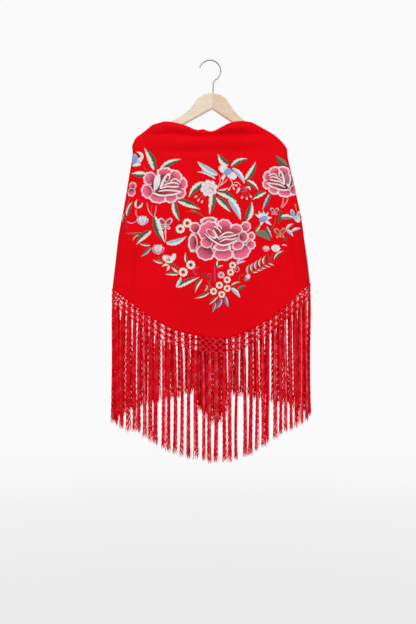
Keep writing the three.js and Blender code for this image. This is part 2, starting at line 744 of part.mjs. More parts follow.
const MATERIALS = {
  wire: new THREE.MeshStandardMaterial({ color: 0xb9b8b3, roughness: 0.35, metalness: 1 }),
  wood: new THREE.MeshStandardMaterial({ color: 0xe6cdab, roughness: 0.55, metalness: 0 }),
  crepe: new THREE.MeshStandardMaterial({ color: 0xd8101c, roughness: 0.75, metalness: 0 }),
  thread: new THREE.MeshStandardMaterial({ color: 0xcf0f1c, roughness: 0.5, metalness: 0 }),
};

function piece(name, geometry, material) {
  const mesh = new THREE.Mesh(geometry, material);
  mesh.name = name;
  return mesh;
}

// The hanger hangs from the top of its loop and leans a little, so its group turns round the
// loop's centre, which stays straight below the origin.
function hanger() {
  const group = new THREE.Group();
  group.position.z = -(LOOP_RADIUS - WIRE_DIAMETER / 2);
  group.rotation.y = degToRad(HANGER_TILT);
  group.add(piece("hook", hookWire(), MATERIALS.wire));
  for (const [name, hand] of [["hanger_arm_left", -1], ["hanger_arm_right", 1]]) {
    const arm = piece(name, woodArm(hand), MATERIALS.wood);
    arm.position.set(WOOD_X, 0, WOOD_TOP_Z);
    group.add(arm);
  }
  return group;
}

function shawl() {
  const group = new THREE.Group();
  group.add(piece("shawl_front", frontPanel(), MATERIALS.crepe));
  const frontHem = (u) => frontPoint(u, { down: 1 });
  group.add(piece("fringe_front", fringe(frontHem, FRONT_TASSELS), MATERIALS.thread));
  for (const [side, hand] of [["left", -1], ["right", 1]]) {
    group.add(piece(`shawl_wing_${side}`, wingPanel(hand), MATERIALS.crepe));
    group.add(piece(`shawl_tail_${side}`, tailPanel(hand), MATERIALS.crepe));
    const wingPoint = wing(hand).point;
    const wingHem = (u) => wingPoint(hand < 0 ? 1 - u : u, { down: 1 });
    const hemStart = hand < 0 ? 1 - WING_FRINGE_END : 0;
    const hem = (u) => wingHem(hemStart + WING_FRINGE_END * u);
    const fringed = tail(hand).fringed;
    const tailHem = hand < 0 ? (u) => fringed(1 - u) : fringed;
    group.add(
      piece(`fringe_wing_${side}`, fringe(hem, WING_TASSELS), MATERIALS.thread),
      piece(`fringe_tail_${side}`, fringe(tailHem, TAIL_TASSELS, TAIL_HEM_GAP), MATERIALS.thread),
    );
  }
  group.add(piece("shawl_tie", tieKnot(), MATERIALS.crepe));
  return group;
}

const object = new THREE.Group();
object.add(hanger(), shawl());

export default object;
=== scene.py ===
"""The looks of the flamenco shawl on its hanger: cloth, embroidery, knotted fringe, wood and wire.

Sizes are in millimetres, turned to metres where a mesh is made. +X is the viewer's right,
+Y goes to the back and +Z is up. The cloth follows the same named sizes as the CAD part.
"""

import math

import bpy
import numpy as np
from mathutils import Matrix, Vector
from mathutils.bvhtree import BVHTree


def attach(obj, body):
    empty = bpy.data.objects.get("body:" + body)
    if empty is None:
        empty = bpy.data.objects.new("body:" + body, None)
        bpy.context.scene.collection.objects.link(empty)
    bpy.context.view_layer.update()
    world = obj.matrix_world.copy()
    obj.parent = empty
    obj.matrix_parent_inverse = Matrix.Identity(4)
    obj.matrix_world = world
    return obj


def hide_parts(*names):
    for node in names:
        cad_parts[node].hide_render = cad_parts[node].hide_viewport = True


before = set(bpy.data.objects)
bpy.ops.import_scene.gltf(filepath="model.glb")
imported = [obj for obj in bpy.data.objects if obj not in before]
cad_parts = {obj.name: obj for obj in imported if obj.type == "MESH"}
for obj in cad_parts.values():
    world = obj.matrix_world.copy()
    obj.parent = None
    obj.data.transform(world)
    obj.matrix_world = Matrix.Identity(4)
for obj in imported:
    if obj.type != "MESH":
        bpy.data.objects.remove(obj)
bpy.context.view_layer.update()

MM = 0.001
PIXEL = 2.7  # millimetres to a pixel of the photo, in the plane of the hanger
PHOTO_X = 210  # the photo's pixel column and row of the origin
PHOTO_Y = 60.7

# Sizes of the cloth, as in the CAD part.
ROLL_SHARE = 0.022
FOLD_SHARE = 0.045
DEPTH_TOP = 11.5
DEPTH_HEM = 27
DEPTH_FROM_Z = -150
DEPTH_TO_Z = -760
FRONT_TURN = 48
FRONT_TURN_SHARE = 0.015
NECK_ROLL = 78
NECK_ROLL_FROM = 0.12
NECK_ROLL_TO = 0.22
WING_TURN = 66
WING_TURN_SHARE = 0.018
CREASES_PER_RADIAN = 16.5
CREASE_SHIFT = 1.2
CREASE_GROWTH = 0.06
CREASE_MOST = 7.5
CREASES_FROM_Z = -225
CREASES_TO_Z = -330
HEM_WAVE_RISE = 6
HEM_WAVES_PER_WING = 19
HEM_WAVE_SHIFT = 0.8
TIE_X = 4
TIE_Y = 34
TIE_Z = -530
TIE_HALF_WIDTH = 16
WING_END = 15
SEAM_GAP = 0.3
CLOTH_THICKNESS = 0.9

RIDGE_LEFT = [(-210, -230), (-201, -210), (-187, -198.5), (-172, -187), (-154, -173), (-130, -166)]
NECK = [
    (-130, -166), (-112, -166.5), (-90, -170), (-62, -178), (-33, -187), (-18, -185),
    (-4, -190), (11, -189), (29, -180), (57, -169), (85, -165), (118, -169),
]
RIDGE_RIGHT = [(118, -169), (136, -178.5), (171, -199), (190, -215), (208, -237)]
SIDE_LEFT = [(-210, -230), (-209, -256), (-219, -319), (-232, -394), (-248, -486), (-263, -616)]
SIDE_RIGHT = [(208, -237), (211, -262), (227, -334), (244, -417), (257, -500), (270, -601)]
HEM = [
    (-263, -616), (-191, -669), (-145, -701), (-92, -728), (-32, -742),
    (18, -748), (67, -743), (120, -720), (165, -691), (270, -601),
]
WING_HEM_LEFT = [(-263, -616), (-183, -586), (-89, -563)]
WING_HEM_RIGHT = [(270, -601), (190, -580), (98, -563)]

# Soft folds of the front: where each runs from and to, its width, and its rise to the viewer.
FRONT_FOLDS = [
    ("neck roll left", -118, -180, -30, -194, 10, 3.5),
    ("neck roll right", 20, -192, 96, -179, 10, 4.5),
    ("trough under the roll", -170, -203, 160, -201, 9, -4.5),
    ("first drag line", -120, -222, 150, -219, 13, 3),
    ("second trough", -130, -246, 120, -247, 11, -2.2),
    ("left hem fold", -216, -420, -214, -640, 12, 4.5),
    ("left hem trough", -196, -520, -198, -670, 9, -4),
    ("right hem fold", 216, -380, 244, -615, 10, 5),
    ("right hem trough", 208, -450, 226, -640, 8, -4.5),
    ("middle flute left", -60, -590, -66, -738, 22, 2.5),
    ("middle flute right", 96, -600, 104, -730, 20, 2.2),
]
# Shallower ones that only the thin cloth has.
SMALL_FOLDS = [
    ("neck roll crest left", -128, -180, -40, -187, 6, 3.0),
    ("neck roll crest right", 22, -187, 110, -180, 6, 3.0),
    ("neck roll crest middle", -48, -195, 36, -195, 4.5, 2.8),
    ("neck trough left", -170, -199, -66, -199, 5, -2.6),
    ("neck trough middle", -50, -205, 42, -205, 5, -4.2),
    ("neck trough right", 56, -199, 150, -199, 5, -2.6),
    ("crest under the trough", -130, -211, 70, -211, 7, 1.6),
    ("valley under the crest", -170, -247, 30, -248, 8, -1.4),
    ("left shoulder drag", -196, -236, -140, -300, 8, 1.3),
    ("right shoulder drag", 196, -244, 150, -310, 8, 1.4),
    ("left side pleat", -232, -500, -244, -620, 7, 1.6),
    ("left inner flute", -150, -560, -156, -700, 12, 1.2),
    ("left centre flute", -104, -600, -108, -722, 10, -1.2),
    ("centre flute", 20, -610, 18, -745, 14, -1.4),
    ("right centre flute", 60, -620, 62, -742, 10, 1.1),
    ("right inner flute", 150, -560, 158, -694, 12, 1.5),
    ("right inner trough", 180, -540, 192, -670, 8, -1.4),
    ("left long drag", -170, -300, -205, -520, 14, 0.9),
    ("right long drag", 176, -310, 214, -480, 12, 1.1),
]


def smooth(start, end, value):
    """0 at start and 1 at end, eased at both ends."""
    q = np.clip((value - start) / (end - start), 0, 1)
    return q * q * (3 - 2 * q)


def mix(a, b, share):
    return a + (b - a) * share


def unit(vectors):
    return vectors / np.maximum(np.linalg.norm(vectors, axis=-1, keepdims=True), 1e-9)


def turns(count):
    """Angles at even steps round a circle."""
    return np.arange(count) / count * 2 * math.pi


def along_path(path, at, target):
    """Points of a path, whose own points lie at the given distances, at other distances."""
    return np.stack([np.interp(target, at, path[:, k]) for k in range(3)], -1)


class Through:
    """A smooth curve through the rows of a table, run at even chord length as u goes 0 to 1."""

    def __init__(self, rows):
        self.points = np.array(rows, float)
        steps = np.linalg.norm(np.diff(self.points, axis=0), axis=1)
        self.at = np.concatenate([[0], np.cumsum(steps)])
        self.chord = self.at[-1]
        i = np.arange(len(rows))
        before = np.maximum(i - 1, 0)
        after = np.minimum(i + 1, len(rows) - 1)
        rise = self.points[after] - self.points[before]
        self.slopes = rise / (self.at[after] - self.at[before])[:, None]

    def __call__(self, u):
        c = np.clip(np.asarray(u, float), 0, 1) * self.chord
        i = np.clip(np.searchsorted(self.at, c) - 1, 0, len(self.at) - 2)
        h = (self.at[i + 1] - self.at[i])[..., None]
        q = (c - self.at[i])[..., None] / h
        return (
            (2 * q**3 - 3 * q**2 + 1) * self.points[i]
            + (q**3 - 2 * q**2 + q) * h * self.slopes[i]
            + (3 * q**2 - 2 * q**3) * self.points[i + 1]
            + (q**3 - q**2) * h * self.slopes[i + 1]
        )


class Joined:
    """Curves one after the other, each with its share of the whole length."""

    def __init__(self, *curves):
        self.curves = curves
        self.chord = sum(c.chord for c in curves)

    def __call__(self, u):
        u = np.asarray(u, float)
        place = self.curves[0](u * self.chord / self.curves[0].chord)
        start = self.curves[0].chord / self.chord
        for c in self.curves[1:]:
            share = c.chord / self.chord
            later = (u > start)[..., None]
            place = np.where(later, c((u - start) / share), place)
            start += share
        return place


def patch(left, right, top, bottom):
    """The patch between four border curves: s runs from left to right, t from top to bottom."""
    tl, tr, bl, br = top(0), top(1), bottom(0), bottom(1)

    def place(s, t):
        across, down = s[..., None], t[..., None]
        sides = mix(left(t), right(t), across)
        ends = mix(top(s), bottom(s), down)
        corners = mix(mix(tl, tr, across), mix(bl, br, across), down)
        return sides + ends - corners

    return place


def fold_rise(folds, x, z):
    rise = 0
    for _, x0, z0, x1, z1, width, height in folds:
        length = math.hypot(x1 - x0, z1 - z0)
        along = ((x - x0) * (x1 - x0) + (z - z0) * (z1 - z0)) / length**2
        off = ((x - x0) * (z1 - z0) - (z - z0) * (x1 - x0)) / length / width
        ends = smooth(-0.12, 0.2, along) * smooth(1.12, 0.8, along)
        rise = rise + height * np.exp(-off * off) * ends
    return rise


def fold_share(value, share):
    c = 1 - np.clip(value / share, 0, 1)
    return np.sqrt(1 - c * c)


def depth_at(z):
    return mix(DEPTH_TOP, DEPTH_HEM, smooth(DEPTH_FROM_Z, DEPTH_TO_Z, z))


ridge_left = Through(RIDGE_LEFT)
ridge_right = Through(RIDGE_RIGHT)
front_top = Joined(ridge_left, Through(NECK), ridge_right)
front_patch = patch(Through(SIDE_LEFT), Through(SIDE_RIGHT), front_top, Through(HEM))
NECK_START = ridge_left.chord / front_top.chord
NECK_END = 1 - ridge_right.chord / front_top.chord


def front_point(s, turn, down):
    """A point of the front, and its depth with no folds. turn is for the rows that roll over."""
    inside = np.minimum(s - NECK_START, NECK_END - s)
    clear = FRONT_TURN * smooth(0, FRONT_TURN_SHARE, inside)
    start = np.radians(clear - NECK_ROLL * smooth(NECK_ROLL_FROM, NECK_ROLL_TO, inside))
    angle = mix(start, math.pi / 2, turn)
    t = mix(ROLL_SHARE * (np.cos(np.maximum(start, 0)) - np.cos(angle)), 1, down)
    xz = front_patch(s, t)
    x, z = xz[..., 0], xz[..., 1]
    side = fold_share(np.minimum(s, 1 - s), FOLD_SHARE) * np.sin(angle)
    plain = -depth_at(z) * side
    folds = fold_rise(FRONT_FOLDS, x, z) + fold_rise(SMALL_FOLDS, x, z)
    return np.stack([x, plain - folds * side, z], -1), plain


class Wing:
    """The left wing, or the right one: from the side fold at s = 0 to the tie at s = 1."""

    def __init__(self, hand):
        self.hand = hand
        ridge = ridge_left if hand < 0 else Through(RIDGE_RIGHT[::-1])
        hump = ridge.points[-1]
        tie_x = TIE_X + hand * (TIE_HALF_WIDTH + SEAM_GAP)
        tie_top = (tie_x, TIE_Z + WING_END)
        tie_bottom = (tie_x, TIE_Z - WING_END)
        # The upper edge goes over the arm's end and behind it, and then half way down to the tie.
        middle = ((hump[0] + tie_x) / 2 + hand * 5, (hump[1] + TIE_Z) / 2)
        over_arm = (hump[0] - hand * 10, hump[1] - 1)
        behind_arm = (hump[0] - hand * 27, hump[1] - 24)
        top = Joined(ridge, Through([hump, over_arm, behind_arm, middle, tie_top]))
        side = Through(SIDE_LEFT if hand < 0 else SIDE_RIGHT)
        hem = Through((WING_HEM_LEFT if hand < 0 else WING_HEM_RIGHT) + [tie_bottom])
        self.place = patch(side, Through([tie_top, tie_bottom]), top, hem)
        self.hump_share = ridge.chord / top.chord

    def point(self, s, turn, down):
        turned = WING_TURN * smooth(0, WING_TURN_SHARE, s - self.hump_share)
        start = np.radians(turned)
        angle = mix(start, math.pi / 2, turn)
        t = mix(ROLL_SHARE * (np.cos(start) - np.cos(angle)), 1, down)
        xz = self.place(s, t)
        x, z = xz[..., 0], xz[..., 1]
        depth = mix(depth_at(z), TIE_Y, smooth(0.45, 0.97, s))
        relief = self.creases(x, z) * smooth(0, 0.3, s) + self.hem_wave(s, t)
        side = fold_share(s, FOLD_SHARE) * np.sin(angle)
        return np.stack([x, (depth + relief) * side, z], -1), depth * side

    def creases(self, x, z):
        """Creases that run to the tie, each with a finer one beside it."""
        from_tie = np.hypot(x - TIE_X, z - TIE_Z)
        around = np.arctan2(z - TIE_Z, self.hand * (x - TIE_X))
        height = np.minimum(CREASE_GROWTH * from_tie, CREASE_MOST)
        waves = np.sin(around * CREASES_PER_RADIAN + CREASE_SHIFT)
        fine = 0.16 * np.sin(around * CREASES_PER_RADIAN * 2.6 + from_tie * 0.012)
        return height * (waves + fine) * smooth(CREASES_FROM_Z, CREASES_TO_Z, z)

    def hem_wave(self, s, t):
        wave = np.sin(s * HEM_WAVES_PER_WING + HEM_WAVE_SHIFT)
        return HEM_WAVE_RISE * wave * smooth(0.55, 1, t) * smooth(1, 0.75, s)


wings = {"left": Wing(-1), "right": Wing(1)}


def srgb(r, g, b):
    """A colour of 0 to 255 a channel, as the linear values that a shader takes."""
    c = np.array([r, g, b]) / 255
    return np.where(c <= 0.04045, c / 12.92, ((c + 0.055) / 1.055) ** 2.4)


def rgba(colour):
    return (*[float(c) for c in colour], 1.0)


FIELDS = {"FLOAT": "value", "FLOAT_VECTOR": "vector", "FLOAT_COLOR": "color"}


def make_mesh(name, points, faces, attributes=()):
    """A mesh object from points in millimetres. Each attribute is (name, type, values)."""
    mesh = bpy.data.meshes.new(name)
    quads = faces if isinstance(faces, list) else faces.tolist()
    mesh.from_pydata((points * MM).reshape(-1, 3).tolist(), [], quads)
    for label, kind, values in attributes:
        layer = mesh.attributes.new(label, kind, "POINT")
        layer.data.foreach_set(FIELDS[kind], np.asarray(values, np.float32).ravel())
    mesh.update()
    mesh.shade_smooth()
    obj = bpy.data.objects.new(name, mesh)
    bpy.context.collection.objects.link(obj)
    return obj


def grid_faces(index, flip=False):
    """Quads of a grid of vertex numbers whose rows run down and whose columns run to the right."""
    corners = [index[:-1, :-1], index[1:, :-1], index[1:, 1:], index[:-1, 1:]]
    if flip:
        corners = corners[::-1]
    return np.stack([c.ravel() for c in corners], -1)


def closed_faces(index, flip=False):
    """Quads of a grid whose last column meets its first."""
    return grid_faces(np.concatenate([index, index[:, :1]], 1), flip)


def number_grid(shape):
    return np.arange(shape[0] * shape[1]).reshape(shape)


def normals_of(points, faces):
    """Smooth normals of a mesh of quads."""
    across = points[faces[:, 2]] - points[faces[:, 0]]
    down = points[faces[:, 3]] - points[faces[:, 1]]
    each = np.cross(across, down)
    total = np.zeros_like(points)
    for k in range(faces.shape[1]):
        np.add.at(total, faces[:, k], each)
    return unit(total)


def tube(path, radius, sides):
    """A round tube along a path of points: its points and faces."""
    radius = np.broadcast_to(radius, len(path))
    along = unit(np.gradient(path, axis=0))
    side = unit(np.cross(along, (0, 1, 0) if abs(along[:, 1]).mean() < 0.8 else (1, 0, 0)))
    up = np.cross(side, along)
    turn = turns(sides)[:, None]
    ring = np.cos(turn) * side[:, None] + np.sin(turn) * up[:, None]
    points = path[:, None] + ring * radius[:, None, None]
    return points, closed_faces(number_grid((len(path), sides)))


class Parts:
    """Tubes and other pieces gathered into one mesh, with one value a point."""

    def __init__(self):
        self.points = []
        self.faces = []
        self.values = []
        self.count = 0

    def add(self, points, faces, value=0.0):
        points = points.reshape(-1, 3)
        self.points.append(points)
        self.faces.append(faces + self.count)
        self.values.append(np.broadcast_to(value, len(points)))
        self.count += len(points)

    def build(self, name):
        faces = [f for block in self.faces for f in block.tolist()]
        shade = np.concatenate(self.values)
        return make_mesh(name, np.concatenate(self.points), faces, [("shade", "FLOAT", shade)])


def piece(obj, slot, material, *nodes):
    """A finished piece: it rides on the only body and stands for the CAD nodes that it replaces."""
    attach(obj, "root")
    if nodes:
        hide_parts(*nodes)
    obj.data.materials.append(material)
    return obj


def thicken(obj):
    """Gives a sheet the cloth's thickness, half on each side."""
    modifier = obj.modifiers.new("thickness", "SOLIDIFY")
    modifier.thickness = CLOTH_THICKNESS * MM
    modifier.offset = 0


# The cloth: one mesh of the front and both wings, which share the fold's vertices.
# Its first rows turn over the roll, the next ones are close together at the neck.

FIRST_DOWN_ROW = 10
NECK_ROWS = 26
LOWER_ROWS = 86
NECK_ROWS_END = 0.16
turning = np.arange(FIRST_DOWN_ROW) / FIRST_DOWN_ROW
neck_rows = np.linspace(0, NECK_ROWS_END, NECK_ROWS + 1)[:-1]
lower_rows = np.linspace(NECK_ROWS_END, 1, LOWER_ROWS)
ROW_TURN = np.concatenate([turning, np.ones(NECK_ROWS + LOWER_ROWS)])
ROW_DOWN = np.concatenate([0 * turning, neck_rows, lower_rows])
ROUND_STEPS = 9
ROUND_SHARE = 0.22
round_steps = 1 - np.cos(np.linspace(0, math.pi / 2, ROUND_STEPS + 1)[:-1])
RIDGE_STEPS = np.concatenate([ROUND_SHARE * round_steps, np.linspace(ROUND_SHARE, 1, 17)])
NECK_COLUMNS = 84
WING_COLUMNS = 66


def wing_columns(wing):
    """Where a wing's columns lie, from the fold at 0 to the tie at 1."""
    neck = np.linspace(wing.hump_share, 1, WING_COLUMNS)
    return np.concatenate([RIDGE_STEPS[:-1] * wing.hump_share, neck])


def cloth():
    """The cloth's points, its quads, and its unrolled coordinates: along and down the cloth."""
    neck_columns = np.linspace(NECK_START, NECK_END, NECK_COLUMNS)
    left_columns = RIDGE_STEPS * NECK_START
    right_columns = 1 - RIDGE_STEPS[::-1] * (1 - NECK_END)
    columns = np.concatenate([left_columns[:-1], neck_columns, right_columns[1:]])
    rows = len(ROW_TURN)
    s, turn = np.meshgrid(columns, ROW_TURN)
    down = np.broadcast_to(ROW_DOWN[:, None], s.shape)
    front, plain = front_point(s, turn, down)
    middle = len(columns) // 2
    step = np.hypot(np.diff(front[..., 0], axis=1), np.diff(plain, axis=1))
    along = np.concatenate([np.zeros((rows, 1)), np.cumsum(step, 1)], 1)
    along += front[:, middle : middle + 1, 0] - along[:, middle : middle + 1]
    index = number_grid((rows, len(columns)))
    points = [front.reshape(-1, 3)]
    flat = [np.stack([along.ravel(), front[..., 2].ravel()], -1)]
    faces = [grid_faces(index)]
    down_faces = [grid_faces(index[FIRST_DOWN_ROW:])]
    count = index.size
    border = {}
    for side, wing in wings.items():
        hand = wing.hand
        s, turn = np.meshgrid(wing_columns(wing), ROW_TURN)
        down = np.broadcast_to(ROW_DOWN[:, None], s.shape)
        body, plain = wing.point(s, turn, down)
        # At each height, the unrolled distance starts at the side fold and grows towards the middle.
        fold = slice(None, FIRST_DOWN_ROW - 1, -1), 0 if hand < 0 else -1
        fold_z = front[fold][:, 2]
        fold_x = np.interp(body[..., 2], fold_z, front[fold][:, 0])
        fold_along = np.interp(body[..., 2], fold_z, along[fold])
        across = np.abs(np.diff(body[..., 0], axis=1))
        slack = np.cumsum(np.hypot(across, np.diff(plain, axis=1)) - across, 1)
        slack = np.concatenate([np.zeros((rows, 1)), slack], 1)
        wing_along = fold_along + fold_x - body[..., 0] + hand * slack
        # The wing shares the front's vertices at the fold and along the ridge.
        shared = index if hand < 0 else index[:, ::-1]
        own = np.full(body.shape[:2], -1)
        own[:, 0] = shared[:, 0]
        own[0, : len(RIDGE_STEPS)] = shared[0, : len(RIDGE_STEPS)]
        fresh = own < 0
        own[fresh] = count + np.arange(fresh.sum())
        count += int(fresh.sum())
        points.append(body[fresh])
        flat.append(np.stack([wing_along[fresh], body[..., 2][fresh]], -1))
        faces.append(grid_faces(own, flip=hand < 0))
        down_faces.append(grid_faces(own[FIRST_DOWN_ROW:], flip=hand < 0))
        border[side] = own
    return {
        "points": np.concatenate(points),
        "flat": np.concatenate(flat),
        "faces": np.concatenate(faces),
        "down_faces": np.concatenate(down_faces),
        "front": index,
        "wings": border,
    }


def undulation(points):
    """The slight unevenness of hanging crepe, up to about a millimetre."""
    draw = np.random.default_rng(7)
    rise = np.zeros(len(points))
    for _ in range(14):
        wavelength = draw.uniform(46, 150)
        angle = draw.normal(0, 0.5)
        along = np.array([math.cos(angle), 0.6 * math.sin(draw.uniform(0, 6.3)), math.sin(angle)])
        shift = draw.uniform(0, 6.3)
        rise += np.sin(points @ along / wavelength * 2 * math.pi + shift) * 0.15 * (wavelength / 80)
    return rise


UNEVEN_FROM_Z = -215
UNEVEN_REACH = 60

sheet = cloth()
away = np.clip(UNEVEN_FROM_Z - sheet["points"][:, 2], 0, UNEVEN_REACH) / UNEVEN_REACH
uneven = (undulation(sheet["points"]) * away)[:, None]
sheet["points"] = sheet["points"] + normals_of(sheet["points"], sheet["faces"]) * uneven
sheet["normals"] = normals_of(sheet["points"], sheet["faces"])


class Surface:
    """Takes unrolled coordinates, or a place seen from the front or the back, to the cloth."""

    def __init__(self, data):
        self.points = data["points"]
        self.normals = data["normals"]
        self.flat = data["flat"]
        quads = data["down_faces"]
        self.triangles = np.concatenate([quads[:, [0, 1, 2]], quads[:, [0, 2, 3]]])
        flat = np.column_stack([self.flat, np.zeros(len(self.flat))])
        tris = self.triangles.tolist()
        self.unrolled = BVHTree.FromPolygons(flat.tolist(), tris)
        self.hung = BVHTree.FromPolygons(self.points.tolist(), tris)

    def weights(self, corners, places):
        a, b, c = corners[:, 0], corners[:, 1], corners[:, 2]
        ab, ac, ap = b - a, c - a, places - a
        cross = np.cross(ab, ac)
        area = np.maximum((cross * cross).sum(1), 1e-12)
        v = (np.cross(ap, ac) * cross).sum(1) / area
        w = (np.cross(ab, ap) * cross).sum(1) / area
        return np.clip(np.stack([1 - v - w, v, w], -1), -0.5, 1.5)

    def to_cloth(self, flat_places):
        """Points and normals on the hung cloth at unrolled coordinates."""
        hits = []
        places = []
        for a, z in flat_places:
            spot, _, face, _ = self.unrolled.ray_cast((a, z, 10), (0, 0, -1))
            if face is None:
                spot, _, face, _ = self.unrolled.find_nearest((a, z, 0))
            hits.append(face)
            places.append(spot)
        tri = self.triangles[np.array(hits)]
        flat = np.column_stack([self.flat, np.zeros(len(self.flat))])
        w = self.weights(flat[tri], np.array(places))[..., None]
        return (self.points[tri] * w).sum(1), unit((self.normals[tri] * w).sum(1))

    def seen(self, x, z, from_back=False):
        """The unrolled coordinates of what shows at x, z from the front, or from the back."""
        start = 200 if from_back else -200
        spot, _, face, _ = self.hung.ray_cast((x, start, z), (0, -math.copysign(1, start), 0))
        if face is None:
            spot, _, face, _ = self.hung.find_nearest((x, start / 8, z))
        tri = self.triangles[face][None]
        w = self.weights(self.points[tri], np.array(spot)[None])[..., None]
        return (self.flat[tri] * w).sum(1)[0]

    def photo(self, px, py):
        """The unrolled coordinates of a pixel of the photo."""
        return self.seen((px - PHOTO_X) * PIXEL, (PHOTO_Y - py) * PIXEL)


surface = Surface(sheet)

# Colours of the embroidery's threads.
PINK = srgb(255, 100, 144)
ROSE = srgb(232, 78, 112)
DEEP_ROSE = srgb(198, 46, 72)
CRIMSON = srgb(128, 6, 28)
MAUVE = srgb(190, 112, 132)
BLUSH = srgb(246, 184, 202)
WHITE = srgb(255, 244, 247)
DARK_GREEN = srgb(64, 84, 56)
MOSS = srgb(112, 132, 98)
PALE_GREEN = srgb(240, 246, 228)
SKY = srgb(166, 202, 226)
ICE = srgb(234, 246, 248)
SLATE = srgb(92, 118, 132)
CREAM = srgb(255, 253, 238)
APRICOT = srgb(232, 164, 104)
BLUE = srgb(140, 172, 234)
MAGENTA = srgb(236, 40, 100)
STEM = srgb(110, 96, 66)
PLUM = srgb(156, 22, 54)

# A leaf's rows are this far apart, and its columns run from one edge over both halves to the other.
# A petal has rings inside its rim, and threads that fan out from a root behind its base.
LEAF_STEP = 1.7
LEAF_COLUMNS = np.array([[-1, -0.86, -0.6, -0.3, -0.07, 0.07, 0.3, 0.6, 0.86, 1]])
PETAL_RINGS = np.array([0.02, 0.3, 0.58, 0.8, 0.97])
PETAL_ROOT = 1.35
PETAL_VEINS = 34
PETAL_HEIGHT = 0.9
RIBBON_STEP = 1.8
RIBBON_HEIGHT = 0.85


